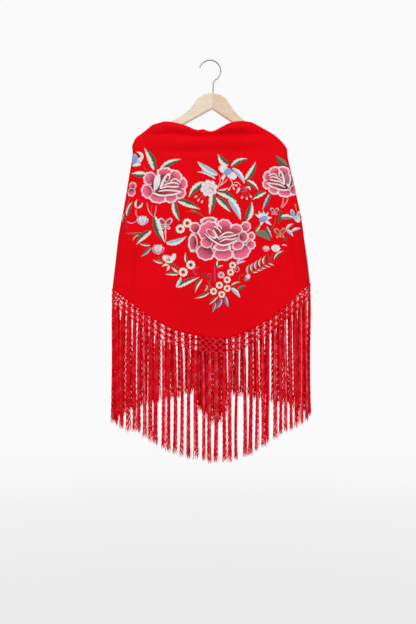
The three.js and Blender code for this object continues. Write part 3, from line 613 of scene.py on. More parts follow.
class Embroidery:
    """Patches of satin stitch, laid out in unrolled millimetres and then placed on the cloth."""

    def __init__(self, seed):
        self.draw = np.random.default_rng(seed)
        self.places = []
        self.heights = []
        self.colours = []
        self.stitches = []
        self.faces = []
        self.count = 0

    def add(self, place, height, colour, across, along, closed=False):
        """A grid of places. across is measured over the threads and along is along them."""
        shape = place.shape[:2]
        index = number_grid(shape) + self.count
        self.places.append(place.reshape(-1, 2))
        self.heights.append(np.broadcast_to(height, shape).ravel())
        self.colours.append(np.broadcast_to(colour, (*shape, 3)).reshape(-1, 3))
        both = np.stack(np.broadcast_arrays(across, along, 0.0 * place[..., 0]), -1)
        self.stitches.append(both.reshape(-1, 3))
        self.faces.append(closed_faces(index) if closed else grid_faces(index))
        self.count += index.size

    def leaf(self, base, tip, width, dark, pale, bend=0.0, teeth=0, lift=0.0):
        """A leaf in two tones. Below 0, teeth puts the pale half on the other side."""
        side = -1 if teeth < 0 else 1
        base, tip = np.array(base), np.array(tip)
        length = np.linalg.norm(tip - base)
        forward = (tip - base) / length
        right = np.array([-forward[1], forward[0]])
        n = int(np.clip(length / LEAF_STEP, 9, 34))
        u = np.linspace(0, 1, n)[:, None]
        v = LEAF_COLUMNS
        half = width / 2 * np.sin(math.pi * u**0.82) ** 0.85 * (1 - 0.25 * u**3)
        if teeth:
            saw = np.abs(np.sin(u * math.pi * teeth))
            half = half * (0.92 + 0.24 * saw * (side * v > 0))
        curve = bend * length * 4 * u * (1 - u)
        off = curve + v * half
        place = base + forward * (u * length)[..., None] + right * off[..., None]
        ragged = self.draw.uniform(-0.14, 0.14, (n, 1))
        share = smooth(-0.1, 0.22, side * v + ragged)
        edge = smooth(-0.86, -1.0, side * v) * 0.55
        colour = mix(dark, pale, np.maximum(share, edge)[..., None])
        # Painted shade: the leaf is darker along its midrib, in the groove where its two halves meet.
        colour = colour * (1 - 0.22 * np.exp(-((side * v + 0.02) / 0.09) ** 2))[..., None]
        dome = np.sqrt(np.clip(1 - v * v, 0, 1)) * (1 - 0.3 * np.exp(-((v / 0.1) ** 2)))
        height = lift - 0.25 + 0.95 * dome * smooth(0, 0.12, u) * smooth(1, 0.9, u)
        across = u * length * 0.64 + np.abs(v) * half * 0.77
        along = np.abs(v) * half * 0.64 - u * length * 0.3
        self.add(place, height, colour, across, along)

    def blob(self, centre, angle, far, wide, tones, rim=WHITE, rim_width=2.6, scallops=0, lift=0.0):
        """A petal with a rim: darker at its base, and scalloped on its outer side."""
        inner, outer = tones
        n = 48 if far > 12 else 30
        phi = turns(n)
        rho_rim = 1 - rim_width / max(min(far, wide), rim_width * 1.6)
        on_rim = [rho_rim * 1.04, mix(rho_rim, 1, 0.55), 0.98, 1.0]
        rho = np.concatenate([PETAL_RINGS * rho_rim, on_rim])[:, None]
        outside = smooth(-0.5, 0.3, np.cos(phi))
        wave = np.abs(np.sin(phi * scallops / 2 + 0.4)) if scallops else 1
        reach = 1 + (0.13 * (wave - 0.6) * outside if scallops else 0)
        x = far * np.cos(phi) * reach
        y = wide * np.sin(phi) * reach
        forward = np.array([math.cos(angle), math.sin(angle)])
        right = np.array([-forward[1], forward[0]])
        place = np.array(centre) + (rho * x)[..., None] * forward + (rho * y)[..., None] * right
        # The threads fan out from a point behind the petal's base.
        from_root = rho * x + far * PETAL_ROOT
        from_base = (rho * x + far) / (2 * far)
        ragged = self.draw.uniform(-0.12, 0.12, (1, n))
        fan = np.arctan2(rho * y, from_root)
        veins = 0.5 + 0.5 * np.sin(fan * PETAL_VEINS)
        share = smooth(0.1, 0.68, from_base + ragged)
        colour = mix(inner, outer, share[..., None])
        colour = mix(colour, colour * 0.6, (veins * (1 - share) * 0.8)[..., None])
        # Painted sheen: paler streaks along the threads towards the petal's outer part, mixed towards
        # white.
        gloss = 0.12 * veins * smooth(0.5, 0.95, from_base) * (rho < rho_rim)
        colour = mix(colour, WHITE, gloss[..., None])
        in_rim = rho > rho_rim * 1.02
        if rim is not None:
            colour = mix(colour, rim, (in_rim * (0.6 + 0.4 * outside))[..., None])
        level = 0.45 + 0.55 * smooth(1, rho_rim, rho)
        ridge = 0.5 * np.exp(-(((rho - mix(rho_rim, 1, 0.5)) / (0.35 * (1 - rho_rim) + 0.01)) ** 2))
        height = lift - 0.3 + PETAL_HEIGHT * (level * smooth(1, 0.97, rho) + ridge * outside)
        across = np.where(in_rim, phi * far, fan * far * 1.9)
        self.add(place, height, colour, across, np.hypot(rho * y, from_root), closed=True)

    def ribbon(self, rows, width, colour, lift=0.0, taper=0.25):
        """A line of stem or outline stitch through the rows."""
        curve = Through(rows)
        n = int(np.clip(curve.chord / RIBBON_STEP, 5, 70))
        u = np.linspace(0, 1, n)
        middle = curve(u)
        along = unit(np.gradient(middle, axis=0))
        right = np.stack([-along[:, 1], along[:, 0]], -1)
        half = width / 2 * (1 - (1 - taper) * np.clip(np.abs(2 * u - 1) * 3 - 2, 0, 1))
        v = np.array([-1, -0.7, 0, 0.7, 1])
        place = middle[:, None] + right[:, None] * (half[:, None] * v)[..., None]
        level = lift - 0.25 + RIBBON_HEIGHT * np.sqrt(1 - v * v)
        length = (u * curve.chord)[:, None]
        across = length * 0.8 + v * half[:, None] * 0.6
        self.add(place, level, colour, across, length)

    def daisy(self, centre, radius, petals, colour, ring, eye):
        """A round flower of short lobes, with a ring and an eye."""
        n = petals * 6
        phi = turns(n)
        lobe = np.abs(np.cos(phi * petals / 2))
        rho = np.array([0.3, 0.4, 0.52, 0.7, 0.88, 1])[:, None]
        reach = radius * rho * (1 + 0.13 * (lobe - 0.5) * rho)
        direction = np.stack([np.cos(phi), np.sin(phi)], -1)
        place = np.array(centre) + reach[..., None] * direction
        tone = mix(ring, colour, smooth(0.38, 0.56, rho)[..., None])
        # Painted shade: the flower is darker between its lobes, where the petals dip.
        tone = tone * (0.8 + 0.2 * smooth(0, 0.5, lobe))[None, :, None]
        dome = np.array([-0.3, 0.5, 0.85, 0.95, 0.75, -0.3])[:, None]
        height = dome * (0.75 + 0.25 * lobe)
        self.add(place, height, tone, phi * radius * 0.8, reach, closed=True)
        self.blob(centre, 0, radius * 0.26, radius * 0.26, (eye, eye), rim=None, rim_width=0.5)

    def build(self, name):
        """The patches as one piece, each point at its height above the cloth."""
        points, normals = surface.to_cloth(np.concatenate(self.places))
        heights = np.concatenate(self.heights)
        points = points + normals * (heights + CLOTH_THICKNESS / 2)[:, None]
        colours = np.clip(np.concatenate(self.colours), 0, 1)
        colours = np.column_stack([colours, np.ones(len(colours))])
        stitches = np.concatenate(self.stitches)
        layers = [("thread", "FLOAT_COLOR", colours), ("stitch", "FLOAT_VECTOR", stitches)]
        obj = make_mesh(name, points, np.concatenate(self.faces), layers)
        return piece(obj, "embroidery_thread", silk)


def at_angle(centre, degrees, reach):
    """The point at that reach from centre, in that direction."""
    r = math.radians(degrees)
    return (centre[0] + reach * math.cos(r), centre[1] + reach * math.sin(r))


ROSE_RIM = 3.6
# The two roses' designs, in millimetres from the flower's middle. Petals from the back to the
# front: x, z, the way it points in degrees, its half length and half width, and its tones.
PALE_PETAL = (DEEP_ROSE, PINK)
DARK_PETAL = (CRIMSON, ROSE)
ROUND_ROSE = {
    "petals": [
        (-43, 20, 152, 17, 19, PALE_PETAL),
        (-50, -15, 197, 16, 20, PALE_PETAL),
        (-22, -32, 262, 15, 25, PALE_PETAL),
        (39, -19, 335, 15, 17, PALE_PETAL),
        (15, -32, 287, 14, 19, PALE_PETAL),
        (44, 6, 8, 14, 18, PALE_PETAL),
        (27, 26, 47, 15, 20, PALE_PETAL),
        (-3, 37, 93, 13, 22, PALE_PETAL),
    ],
    "heart": (1, 2, 0, 39, 29),
    "folds": [(-24, 8, 78, 25, 9.5, (WHITE, WHITE)), (4, 20, 68, 15, 8, (DEEP_ROSE, DEEP_ROSE))],
    "ribs": [
        (6.5, [(-15, -8), (-7, 12), (3, 30)]),
        (3.6, [(11, 10), (25, 19), (41, 7)]),
        (3.8, [(-7, 1), (10, 7), (25, 8), (37, 3)]),
        (4.2, [(-15, -8), (3, -2), (19, -3), (37, -2)]),
        (4.2, [(-20, -15), (0, -12), (19, -13), (42, -16)]),
        (4.4, [(-35, -20), (-13, -26), (10, -25), (28, -22), (42, -17)]),
    ],
}
WIDE_ROSE = {
    "petals": [
        (-72, 31, 140, 17, 15, DARK_PETAL),
        (-36, 50, 95, 11, 24, PALE_PETAL),
        (6, 38, 85, 17, 20, PALE_PETAL),
        (63, 34, 60, 15, 14, PALE_PETAL),
        (39, 28, 75, 14, 18, PALE_PETAL),
        (79, 9, 5, 10, 12, PALE_PETAL),
        (77, -14, -30, 13, 13, PALE_PETAL),
        (52, -33, -60, 20, 26, PALE_PETAL),
        (3, -39, -90, 18, 28, PALE_PETAL),
        (-45, -35, -110, 21, 25, DARK_PETAL),
        (-78, -9, 180, 13, 26, DARK_PETAL),
        (-37, 24, 125, 24, 30, PALE_PETAL),
        (-41, -7, 215, 17, 17, PALE_PETAL),
        (0, -21, -90, 11, 25, PALE_PETAL),
        (43, -16, -70, 13, 17, PALE_PETAL),
        (57, 7, 5, 14, 16, DARK_PETAL),
    ],
    "heart": (-2, 10, 0, 45, 24),
    "folds": [(-29, 16, -42, 20, 10, (DEEP_ROSE, PINK))],
    "ribs": [
        (3.4, [(-22, 36), (-7, 25), (-2, 17)]),
        (3.4, [(-15, 42), (-5, 35), (0, 27)]),
        (3.8, [(-24, 28), (-16, 13), (-7, -1)]),
        (3.6, [(-9, 5), (8, 17), (20, 19), (30, 16)]),
        (3.6, [(-8, 0), (2, 6), (20, 8), (42, 14)]),
        (3.6, [(-7, -7), (8, 0), (27, 0), (42, 5)]),
        (4.2, [(-47, 16), (-29, 0), (-12, -11), (2, -16), (27, -9), (44, 1)]),
    ],
}


def rose(work, design, centre, scale=1.0, mirror=1, turn=0.0):
    """A layered rose: petals round a dark heart, which has pale folds and raised white ribs."""
    r = math.radians(turn)
    cos, sin = math.cos(r) * scale, math.sin(r) * scale

    def local(u, v):
        x = mirror * u
        return (centre[0] + x * cos - v * sin, centre[1] + x * sin + v * cos)

    def layer(x, z, out, far, wide, tones, **looks):
        heading = r + math.radians(out if mirror > 0 else 180 - out)
        work.blob(local(x, z), heading, far * scale, wide * scale, tones, **looks)

    for k, petal in enumerate(design["petals"]):
        layer(*petal, rim_width=ROSE_RIM, scallops=8, lift=0.06 * k)
    layer(*design["heart"], (CRIMSON, DEEP_ROSE), rim=None, lift=0.85)
    for fold in design["folds"]:
        layer(*fold, rim_width=ROSE_RIM, lift=1.1)
    for width, rows in design["ribs"]:
        work.ribbon([local(*row) for row in rows], 1.25 * width * scale, WHITE, lift=1.35, taper=0.4)


def petals_round(work, centre, reach, count, far, wide, tones, degrees):
    """Equal petals round one point."""
    for k in range(count):
        angle = degrees + 360 * k / count
        root = at_angle(centre, angle, reach)
        work.blob(root, math.radians(angle), far, wide, tones, rim_width=2, scallops=6)


def tulip(work, centre, size, degrees, colour, pale):
    """A cup of five petals: two that open outwards, and three pale ones between them."""
    for turn, share in ((56, 0.82), (-56, 0.82), (27, 0.95), (-27, 0.95), (0, 0.9)):
        outer = abs(turn) > 40
        tones = (colour, colour) if outer else (pale, WHITE)
        rim = pale if outer else mix(colour, WHITE, 0.5)
        root = at_angle(centre, degrees + turn, size * 0.3)
        r = math.radians(degrees + turn * 0.8)
        lift = 0.0 if outer else 0.3
        work.blob(root, r, size * 0.52 * share, size * 0.23, tones, rim=rim, rim_width=1.6, lift=lift)


def star(work, centre, size, rays, colour, pale, eye):
    """A flower of pointed petals round an eye."""
    for k in range(rays):
        angle = 360 * k / rays
        base = at_angle(centre, angle, size * 0.1)
        tip = at_angle(centre, angle, size * (0.86 + 0.22 * (k % 2)))
        work.leaf(base, tip, size * 0.42, colour, pale, lift=0.1, bend=0.05)
    work.blob(centre, 0, size * 0.36, size * 0.3, (eye, eye), rim=None, rim_width=0.6, lift=0.5)


def butterfly(work, centre, size, degrees, fill, rim=WHITE):
    """A flower of two large wings and two small ones."""
    for turn, reach, far in ((42, 0.62, 0.52), (-42, 0.62, 0.52), (128, 0.4, 0.3), (-128, 0.4, 0.3)):
        root = at_angle(centre, degrees + turn, size * reach)
        half = size * far
        r = math.radians(degrees + turn)
        work.blob(root, r, half, half * 0.66, (fill, fill), rim=rim, rim_width=2.2, scallops=5)
    tail_end = at_angle(centre, degrees + 180, size * 0.5)
    work.leaf(tail_end, at_angle(centre, degrees, size * 0.3), 3, rim, rim, lift=0.4)


def stamen(work, base, tip, thread=STEM, end=PALE_GREEN):
    """A short thread with a dot at its tip."""
    work.ribbon([base, tip], 1.7, thread, taper=0.8)
    heading = math.atan2(tip[1] - base[1], tip[0] - base[0])
    work.blob(tip, heading, 4, 2.3, (end, end), rim=None, rim_width=0.6, lift=0.2)


def bud(work, centre, size, degrees, colour, pale, calyx=MOSS):
    """A closed flower in its calyx."""
    r = math.radians(degrees)
    work.blob(centre, r, size * 0.6, size * 0.42, (colour, pale), rim_width=1.5, lift=0.1)
    root = at_angle(centre, degrees + 180, size * 0.9)
    for turn in (89.6, -89.6):
        tip = at_angle(centre, degrees + turn, size * 0.5)
        work.leaf(root, tip, size * 0.3, calyx, calyx, lift=0.4)


def fern(work, rows, leaflets, length, dark, pale):
    """A spray: a curved stem with leaflets on both sides."""
    stem = Through(rows)
    work.ribbon(rows, 1.5, STEM)
    for u in np.linspace(0.14, 0.94, leaflets):
        here = stem(u)
        ahead = stem(min(u + 0.04, 1)) - stem(max(u - 0.04, 0))
        heading = math.degrees(math.atan2(ahead[1], ahead[0]))
        reach = length * (1 - 0.35 * abs(2 * u - 0.9))
        for hand in (1, -1):
            tip = at_angle(here, heading + 52 * hand, reach)
            work.leaf(here, tip, 4.2, dark, pale, bend=0.08 * hand)
    work.leaf(stem(0.97), at_angle(stem(1.0), heading, length * 0.7), 4.2, dark, pale)


def spot(px, py):
    return tuple(surface.photo(px, py))


def spots(*pixels):
    return [spot(x, y) for x, y in pixels]


# Leaves of the front. Each row: base and tip in photo pixels, width in millimetres, its two
# colours, bend, and teeth on its pale side.
GREEN = (DARK_GREEN, PALE_GREEN)
SOFT = (MOSS, PALE_GREEN)
ICY = (SKY, ICE)
DUSK = (SLATE, SKY)
FRONT_LEAVES = [
    ((218.5, 175.5), (197, 161.5), 20, (SKY, PALE_GREEN), 0.06, 7),
    ((216, 180), (196.5, 172.5), 9, ICY, -0.12, 4),
    ((205, 182.5), (188.5, 199), 20, GREEN, -0.08, -7),
    ((229, 166), (218, 154), 20, GREEN, 0.1, 5),
    ((230.5, 168), (248, 159.5), 15, GREEN, 0.1, 5),
    ((231.5, 168.5), (244.5, 185), 15, (SKY, ICE), 0.1, 5),
    ((244.5, 181.5), (255.7, 162), 19, GREEN, -0.08, 6),
    ((246, 181), (258.5, 191.5), 14, GREEN, 0.06, 4),
    ((213.5, 191), (209.5, 216), 20, GREEN, 0.03, -4),
    ((216, 192), (237.5, 203), 19, GREEN, 0.08, -7),
    ((216, 197.5), (230.5, 213), 19, GREEN, 0.05, -7),
    ((227.5, 199), (240.5, 221.5), 20, ICY, 0.08, 6),
    ((155, 171.5), (144, 148), 22, GREEN, -0.08, 7),
    ((160, 170), (182, 160), 17, GREEN, 0.06, 5),
    ((177, 201), (201, 210), 19, GREEN, 0.04, -8),
    ((174, 201), (180, 222), 18, GREEN, -0.05, -7),
    ((146.5, 175), (129, 174), 19, GREEN, 0.04, -5),
    ((154.5, 216), (165, 243.5), 24, GREEN, -0.05, 7),
    ((152, 231), (136.5, 245.5), 19, GREEN, -0.08, 7),
    ((143, 233), (125.5, 233.8), 6, (MOSS, DARK_GREEN), 0.05, 0),
    ((139.5, 235), (133, 241.5), 5, SOFT, -0.14, 0),
    ((143.4, 160), (136.4, 152.5), 9, (PALE_GREEN, CREAM), -0.2, 0),
    ((127.6, 217), (133.5, 202), 12, GREEN, 0.08, 3),
    ((123, 222), (122, 213), 11, GREEN, 0.0, 0),
    ((151, 245.5), (139.5, 244), 8, GREEN, 0.04, 0),
    ((151, 247.5), (141, 257), 11, (DARK_GREEN, SKY), 0.05, 3),
    ((165.5, 243.5), (187, 236.5), 17, ICY, -0.1, -6),
    ((179, 274.5), (165, 274.5), 10, GREEN, -0.03, 0),
    ((176.8, 288), (200, 277.3), 16, GREEN, 0.05, -8),
    ((176.8, 288), (181.5, 277), 12, ICY, -0.05, 3),
    ((202.7, 279), (195.3, 293.5), 11, GREEN, -0.12, 0),
    ((209.5, 292.6), (194.3, 298.4), 10, GREEN, 0.04, 0),
    ((206.8, 285), (204.2, 291.5), 7, GREEN, 0.1, 0),
    ((215.5, 302.5), (212.5, 312.5), 9, DUSK, 0.0, 0),
    ((221.6, 298.5), (216.2, 309), 11, DUSK, 0.05, 0),
    ((225, 296), (228.4, 307.4), 11, DUSK, -0.05, 0),
    ((218.2, 296.5), (209, 305), 9, GREEN, -0.05, 3),
    ((230.7, 288.2), (240, 298), 13, ICY, 0.05, 3),
    ((230.7, 286.5), (240.2, 282.3), 8, GREEN, 0.06, 3),
    ((236.5, 290.6), (245.8, 285.8), 10, (DARK_GREEN, MOSS), 0.05, 0),
    ((186.8, 263.6), (185.8, 252.6), 9, GREEN, 0.03, 0),
    ((163.5, 263.2), (153.2, 260), 9, SOFT, 0.05, 0),
    ((178.5, 273), (171.5, 267), 6, (PALE_GREEN, WHITE), 0.04, 0),
    ((287, 166.5), (275.4, 156), 18, (DARK_GREEN, MOSS), 0.08, -5),
    ((266, 192), (251.5, 200.5), 15, GREEN, -0.05, 4),
    ((269.7, 194), (261.5, 211.5), 13, (DARK_GREEN, SKY), 0.04, -4),
    ((245.7, 222), (251.2, 201.5), 21, GREEN, -0.06, -6),
    ((278.3, 218.4), (294.5, 219.5), 15, (MOSS, ICE), 0.08, 3),
    ((280.2, 210.5), (277.3, 225), 11, (DARK_GREEN, DARK_GREEN), 0.08, 0),
    ((254.8, 233), (270.3, 241.5), 20, (MOSS, MOSS), 0.12, 4),
    ((265.8, 226.6), (271.8, 238.5), 11, (DARK_GREEN, SKY), -0.05, 3),
    ((259.5, 226), (255, 232.6), 9, SOFT, 0.0, 0),
    ((285.6, 230), (293, 224.4), 9, ICY, 0.12, 0),
    ((285.6, 230), (292.4, 237.4), 10, ICY, 0.08, 3),
    ((290.5, 232.6), (300.5, 229), 9, ICY, 0.1, 3),
    ((283, 241), (287.6, 238.3), 8, (DARK_GREEN, DARK_GREEN), 0.0, 0),
    ((217.6, 267.6), (219, 259.6), 9, GREEN, 0.08, 0),
    ((217.2, 268.3), (223.3, 266), 6, SOFT, 0.05, 0),
    ((235.6, 265), (246.2, 261.6), 6, ICY, 0.06, 0),
    ((236.5, 263.6), (242, 258), 8, ICY, 0.05, 0),
    ((197, 213), (190, 209.5), 6, (MOSS, MOSS), 0.05, 0),
    ((273.5, 260), (283.3, 251), 10, GREEN, 0.08, 0),
    ((281, 246), (287, 246.8), 4, (BLUSH, WHITE), 0.15, 0),
    ((218, 190.6), (228.6, 188), 6, (ICE, BLUSH), -0.1, 0),
    ((169, 265), (162, 267), 7, (CREAM, WHITE), -0.1, 0),
    ((169.3, 265.5), (166.9, 271.4), 7, (CREAM, WHITE), 0.1, 0),
]
# Stems of the front, through photo pixels: those of dark thread, then those of pale thread.
DARK_STEMS = [
    [(153, 205), (151.5, 210), (153, 217)],
    [(204, 217), (196, 213), (186, 212)],
    [(204, 218), (200, 214), (196, 212)],
    [(157.5, 256), (162, 261), (170, 264), (181, 269)],
    [(218, 260), (217, 264), (217, 270)],
    [(211, 275), (210, 281), (209, 287), (207, 293)],
    [(207, 280), (209, 284), (212, 288)],
    [(215, 302), (218, 296), (222, 291)],
    [(225, 297), (224, 292), (227, 288)],
    [(275, 217), (274.5, 223), (271.5, 230)],
    [(267, 254), (268.5, 258), (268, 262)],
    [(272, 253.5), (271, 258), (269, 262)],
    [(245.7, 274), (240, 276), (238, 281), (233, 285)],
    [(144, 167), (147, 171), (151, 174)],
    [(131, 197), (128.5, 204), (127, 214)],
    [(171.5, 262), (175, 265), (178, 269)],
]
PALE_STEMS = [
    [(147.5, 203), (148.5, 210), (151.5, 215), (154.5, 218)],
    [(156.5, 206), (156, 211), (154.8, 217)],
    [(166, 234), (166, 239), (165.2, 243)],
    [(216.2, 190), (221.5, 184), (224.5, 178)],
    [(216.2, 190), (220, 182), (219.3, 175.5)],
    [(219, 187), (224, 183.5), (227.8, 179.5)],
    [(229.6, 179), (232, 183), (232.4, 187)],
    [(233, 183.6), (237, 183), (241, 186.5)],
    [(288, 198), (286, 203), (281, 209)],
    [(283, 198), (282.5, 203), (280.5, 208)],
    [(136.5, 210), (136.3, 214), (138, 218)],
    [(136.5, 222), (132, 224), (127, 222)],
]
RING_OF_DAISIES = [
    (232.4, 265.6), (230.4, 272.7), (227, 280.1), (219.3, 285.5), (227, 288.6), (213.5, 291.6),
    (221.6, 294.6),
]
RAYS = [
    (254.4, 214.5), (258, 211.5), (263.2, 211), (268.3, 212.6), (271.8, 218), (271.4, 226),
    (259.8, 226.6),
]
STAMENS = [
    ((243.5, 192), (241.8, 198)),
    ((245.2, 192), (246.6, 199)),
    ((246.6, 191), (250.4, 197)),
    ((203, 193), (196, 197.3)),
    ((203.6, 194), (198.6, 200.6)),
    ((204.6, 195), (202, 202.4)),
]
# Thick outlines, each through photo pixels.
OUTLINES = [
    ([(214.3, 265), (214.6, 272), (214.6, 283)], MAGENTA),
    ([(207, 277), (209, 274), (211.5, 275)], MAGENTA),
    ([(201, 274), (204, 276), (206, 279)], PLUM),
    ([(203, 273.5), (208, 277), (212, 281)], PLUM),
    ([(207, 287.5), (209.5, 287), (211, 285.5)], MAGENTA),
    ([(125.6, 214), (126, 223), (127.6, 231)], PLUM),
]


def front_embroidery():
    work = Embroidery(11)
    for rows in DARK_STEMS:
        work.ribbon(spots(*rows), 2.0, STEM)
    for rows in PALE_STEMS:
        work.ribbon(spots(*rows), 2.2, mix(BLUSH, ICE, 0.5))
    for base, tip, width, tones, bend, teeth in FRONT_LEAVES:
        work.leaf(*spots(base, tip), width, *tones, bend, teeth)
    rose(work, WIDE_ROSE, spot(222, 240))
    rose(work, ROUND_ROSE, spot(166, 186.5))
    rose(work, ROUND_ROSE, spot(280, 182), 0.84, -1, -14)
    work.blob(spot(286.8, 179.4), math.radians(98), 19, 7, (MAUVE, MAUVE), rim=None, lift=1.3)
    small_front_flowers(work)
    return work.build("embroidery_front")


def small_front_flowers(work):
    for x, y in ((180.5, 229.5), (187.4, 223.7), (190.9, 265.3), (183.4, 272.5)):
        work.daisy(spot(x, y), 12, 9, CREAM, APRICOT, CRIMSON)
    for x, y in RING_OF_DAISIES:
        work.daisy(spot(x, y), 9.3, 7, CREAM, APRICOT, DEEP_ROSE)
    work.daisy(spot(221, 275.4), 9.3, 7, BLUSH, WHITE, CRIMSON)
    cluster = spot(209, 189)
    petals_round(work, cluster, 14, 8, 9.5, 8, (BLUSH, WHITE), 12)
    petals_round(work, cluster, 5, 5, 8, 7, (WHITE, WHITE), 40)
    work.leaf(spot(214, 192.5), spot(209.5, 187), 5, DARK_GREEN, PALE_GREEN, lift=0.6)
    work.blob(spot(223.6, 169.8), 2.6, 14, 11, (ICE, WHITE), scallops=5)
    work.blob(spot(231.4, 176), -0.5, 15, 10, (ICE, WHITE), scallops=5)
    work.blob(spot(223.5, 177.5), 4.2, 9, 4.5, (SKY, WHITE))
    work.blob(spot(227.6, 172.4), 0.4, 11, 8.5, (BLUE, BLUE), rim=None, lift=0.4)
    for x, y in ((229, 190), (233.6, 189), (236, 186)):
        stamen(work, spot(232.3, 185), spot(x, y), ICE, WHITE)
    work.blob(spot(243.3, 190.3), 0.2, 10, 7, (CRIMSON, DEEP_ROSE), rim=ROSE, scallops=6)
    work.leaf(spot(245.5, 187.5), spot(250.4, 191.4), 7, BLUSH, WHITE, bend=0.22)
    work.leaf(spot(239.5, 187.5), spot(236.3, 194.6), 8, BLUSH, ICE)
    for ends in STAMENS:
        stamen(work, *spots(*ends))
    for x, y in RAYS:
        work.leaf(spot(263, 219.6), spot(x, y), 9, ICE, WHITE)
    work.blob(spot(263, 219.6), 0.3, 12, 8, (BLUE, BLUE), rim=None, lift=0.5)
    work.blob(spot(134.5, 159.5), 1.8, 14, 10, (BLUE, BLUE), rim=SKY)
    work.blob(spot(139.8, 161.2), 0.9, 12, 6, (BLUE, ICE))
    work.blob(spot(137, 165.6), 3.3, 12, 4, (ICE, WHITE))
    tulip(work, spot(143, 224), 27, 90, BLUE, ICE)
    tulip(work, spot(158.5, 253), 29, 92, ROSE, BLUSH)
    tulip(work, spot(265.4, 251), 17, 80, ROSE, BLUSH)
    tulip(work, spot(274.9, 251), 21, 80, CREAM, CREAM)
    work.blob(spot(133.2, 186.4), 1.4, 10, 10, (DEEP_ROSE, ROSE), scallops=6)
    work.blob(spot(131.8, 192.8), 4.6, 12, 11, (CRIMSON, PINK), scallops=6)
    work.leaf(spot(137, 209), spot(137.8, 199.8), 6, CREAM, CREAM, bend=0.16)
    work.leaf(spot(137, 209), spot(143.3, 202.6), 6, CREAM, CREAM, bend=-0.16)
    work.leaf(spot(138, 207), spot(140.6, 200.5), 6, CRIMSON, CRIMSON)
    bud(work, spot(167, 259), 21, 150, PINK, WHITE, CREAM)
    bud(work, spot(174, 256.8), 14, 75, CREAM, WHITE, CREAM)
    bud(work, spot(247.3, 277.5), 15, 55, PINK, WHITE)
    butterfly(work, spot(165.8, 226), 22, 90, DEEP_ROSE)
    work.leaf(spot(165.8, 236), spot(165.8, 227), 5, SKY, ICE, lift=0.3)
    butterfly(work, spot(279.7, 235), 19, 92, DEEP_ROSE, APRICOT)
    butterfly(work, spot(274, 213), 14, 88, CRIMSON, BLUSH)
    work.blob(spot(292, 214), 1.9, 12, 6, (BLUE, BLUE), rim=SKY)
    work.blob(spot(298.3, 214.6), 1.1, 10, 6, (BLUE, SKY))
    work.blob(spot(297, 219.6), -0.6, 10, 9, (SKY, WHITE), scallops=5)
    stamen(work, spot(296, 212), spot(295, 206), APRICOT, APRICOT)
    for reach, tone in ((10.5, MAGENTA), (6, PLUM)):
        arc = [at_angle(spot(197.5, 271.5), d, reach) for d in range(60, 300, 24)]
        work.ribbon(arc, 4, tone)
    for rows, tone in OUTLINES:
        work.ribbon(spots(*rows), 4.4, tone)
    for k in range(5):
        x, y = 248 + 4 * k, 274.5 - 2.3 * k
        work.leaf(spot(x, y), spot(x + 1.2, y - 9.5), 7.5, MOSS, WHITE, bend=0.16)
        work.leaf(spot(x + 4, y - 2), spot(x + 10, y - 2.6 + 0.7 * k), 4, BLUSH, WHITE, bend=-0.1)
    work.ribbon(spots((246, 275.5), (256, 270.6), (266, 265), (274.5, 261)), 2, STEM)
    centre = spot(236.2, 270)
    curl = [at_angle(centre, d, 2 + d * 0.014) for d in range(0, 500, 25)]
    work.ribbon(curl, 2, mix(BLUSH, SKY, 0.5))


def back(hand, x, z):
    """Unrolled coordinates of a place on a wing, for either hand."""
    return tuple(surface.seen(hand * x, z, from_back=True))


# A wing's motifs, at x and z of its right hand.
WING_LEAVES = [
    ((160, -300), (196, -272), 14, GREEN, 6),
    ((150, -318), (120, -286), 13, GREEN, 6),
    ((196, -340), (222, -356), 13, ICY, 6),
    ((122, -345), (96, -330), 13, GREEN, 6),
    ((128, -372), (104, -398), 14, ICY, 6),
    ((186, -384), (212, -402), 14, GREEN, 6),
    ((150, -398), (146, -430), 15, GREEN, 7),
    ((166, -400), (182, -428), 13, GREEN, 6),
    ((120, -470), (92, -448), 14, GREEN, 6),
    ((196, -462), (226, -446), 14, GREEN, 6),
    ((204, -498), (236, -508), 13, ICY, 6),
    ((118, -504), (90, -514), 12, GREEN, 6),
    ((150, -528), (138, -556), 13, GREEN, 6),
    ((172, -526), (190, -552), 13, ICY, 6),
    ((84, -420), (66, -396), 11, GREEN, 5),
    ((78, -452), (54, -462), 10, GREEN, 5),
]
WING_STEMS = [
    [(158, -398), (168, -430), (162, -460)],
    [(160, -298), (164, -284), (158, -262)],
    [(122, -345), (100, -372), (84, -410)],
    [(118, -504), (96, -490), (78, -470), (62, -472)],
    [(204, -498), (226, -530), (214, -560)],
    [(196, -340), (214, -330), (214, -306)],
]
WING_DAISIES = [(88, -428), (74, -438), (224, -416), (216, -432), (110, -545), (124, -552)]
WING_FERN = [(112, -300), (132, -276), (140, -248)]


def wing_embroidery():
    work = Embroidery(23)
    for hand in (-1, 1):
        for base, tip, width, tones, teeth in WING_LEAVES:
            ends = [back(hand, *base), back(hand, *tip)]
            work.leaf(*ends, width, *tones, bend=0.06 * hand, teeth=teeth)
        for rows in WING_STEMS:
            work.ribbon([back(hand, *r) for r in rows], 1.7, STEM)
        rose(work, ROUND_ROSE, back(hand, 158, -348), 0.72, hand, 15 * hand)
        rose(work, ROUND_ROSE, back(hand, 160, -492), 0.84, -hand, -20 * hand)
        for x, z in WING_DAISIES:
            work.daisy(back(hand, x, z), 10, 9, CREAM, APRICOT, DEEP_ROSE)
        tulip(work, back(hand, 158, -260), 18, 88, BLUE, ICE)
        tulip(work, back(hand, 84, -372), 16, 110, ROSE, BLUSH)
        butterfly(work, back(hand, 212, -300), 15, 80, DEEP_ROSE)
        bud(work, back(hand, 60, -474), 12, 200, ROSE, BLUSH)
        star(work, back(hand, 214, -564), 15, 7, WHITE, ICE, BLUE)
        fern(work, [back(hand, *r) for r in WING_FERN], 6, 12, MOSS, WHITE)
    return work.build("embroidery_back")


# Materials.


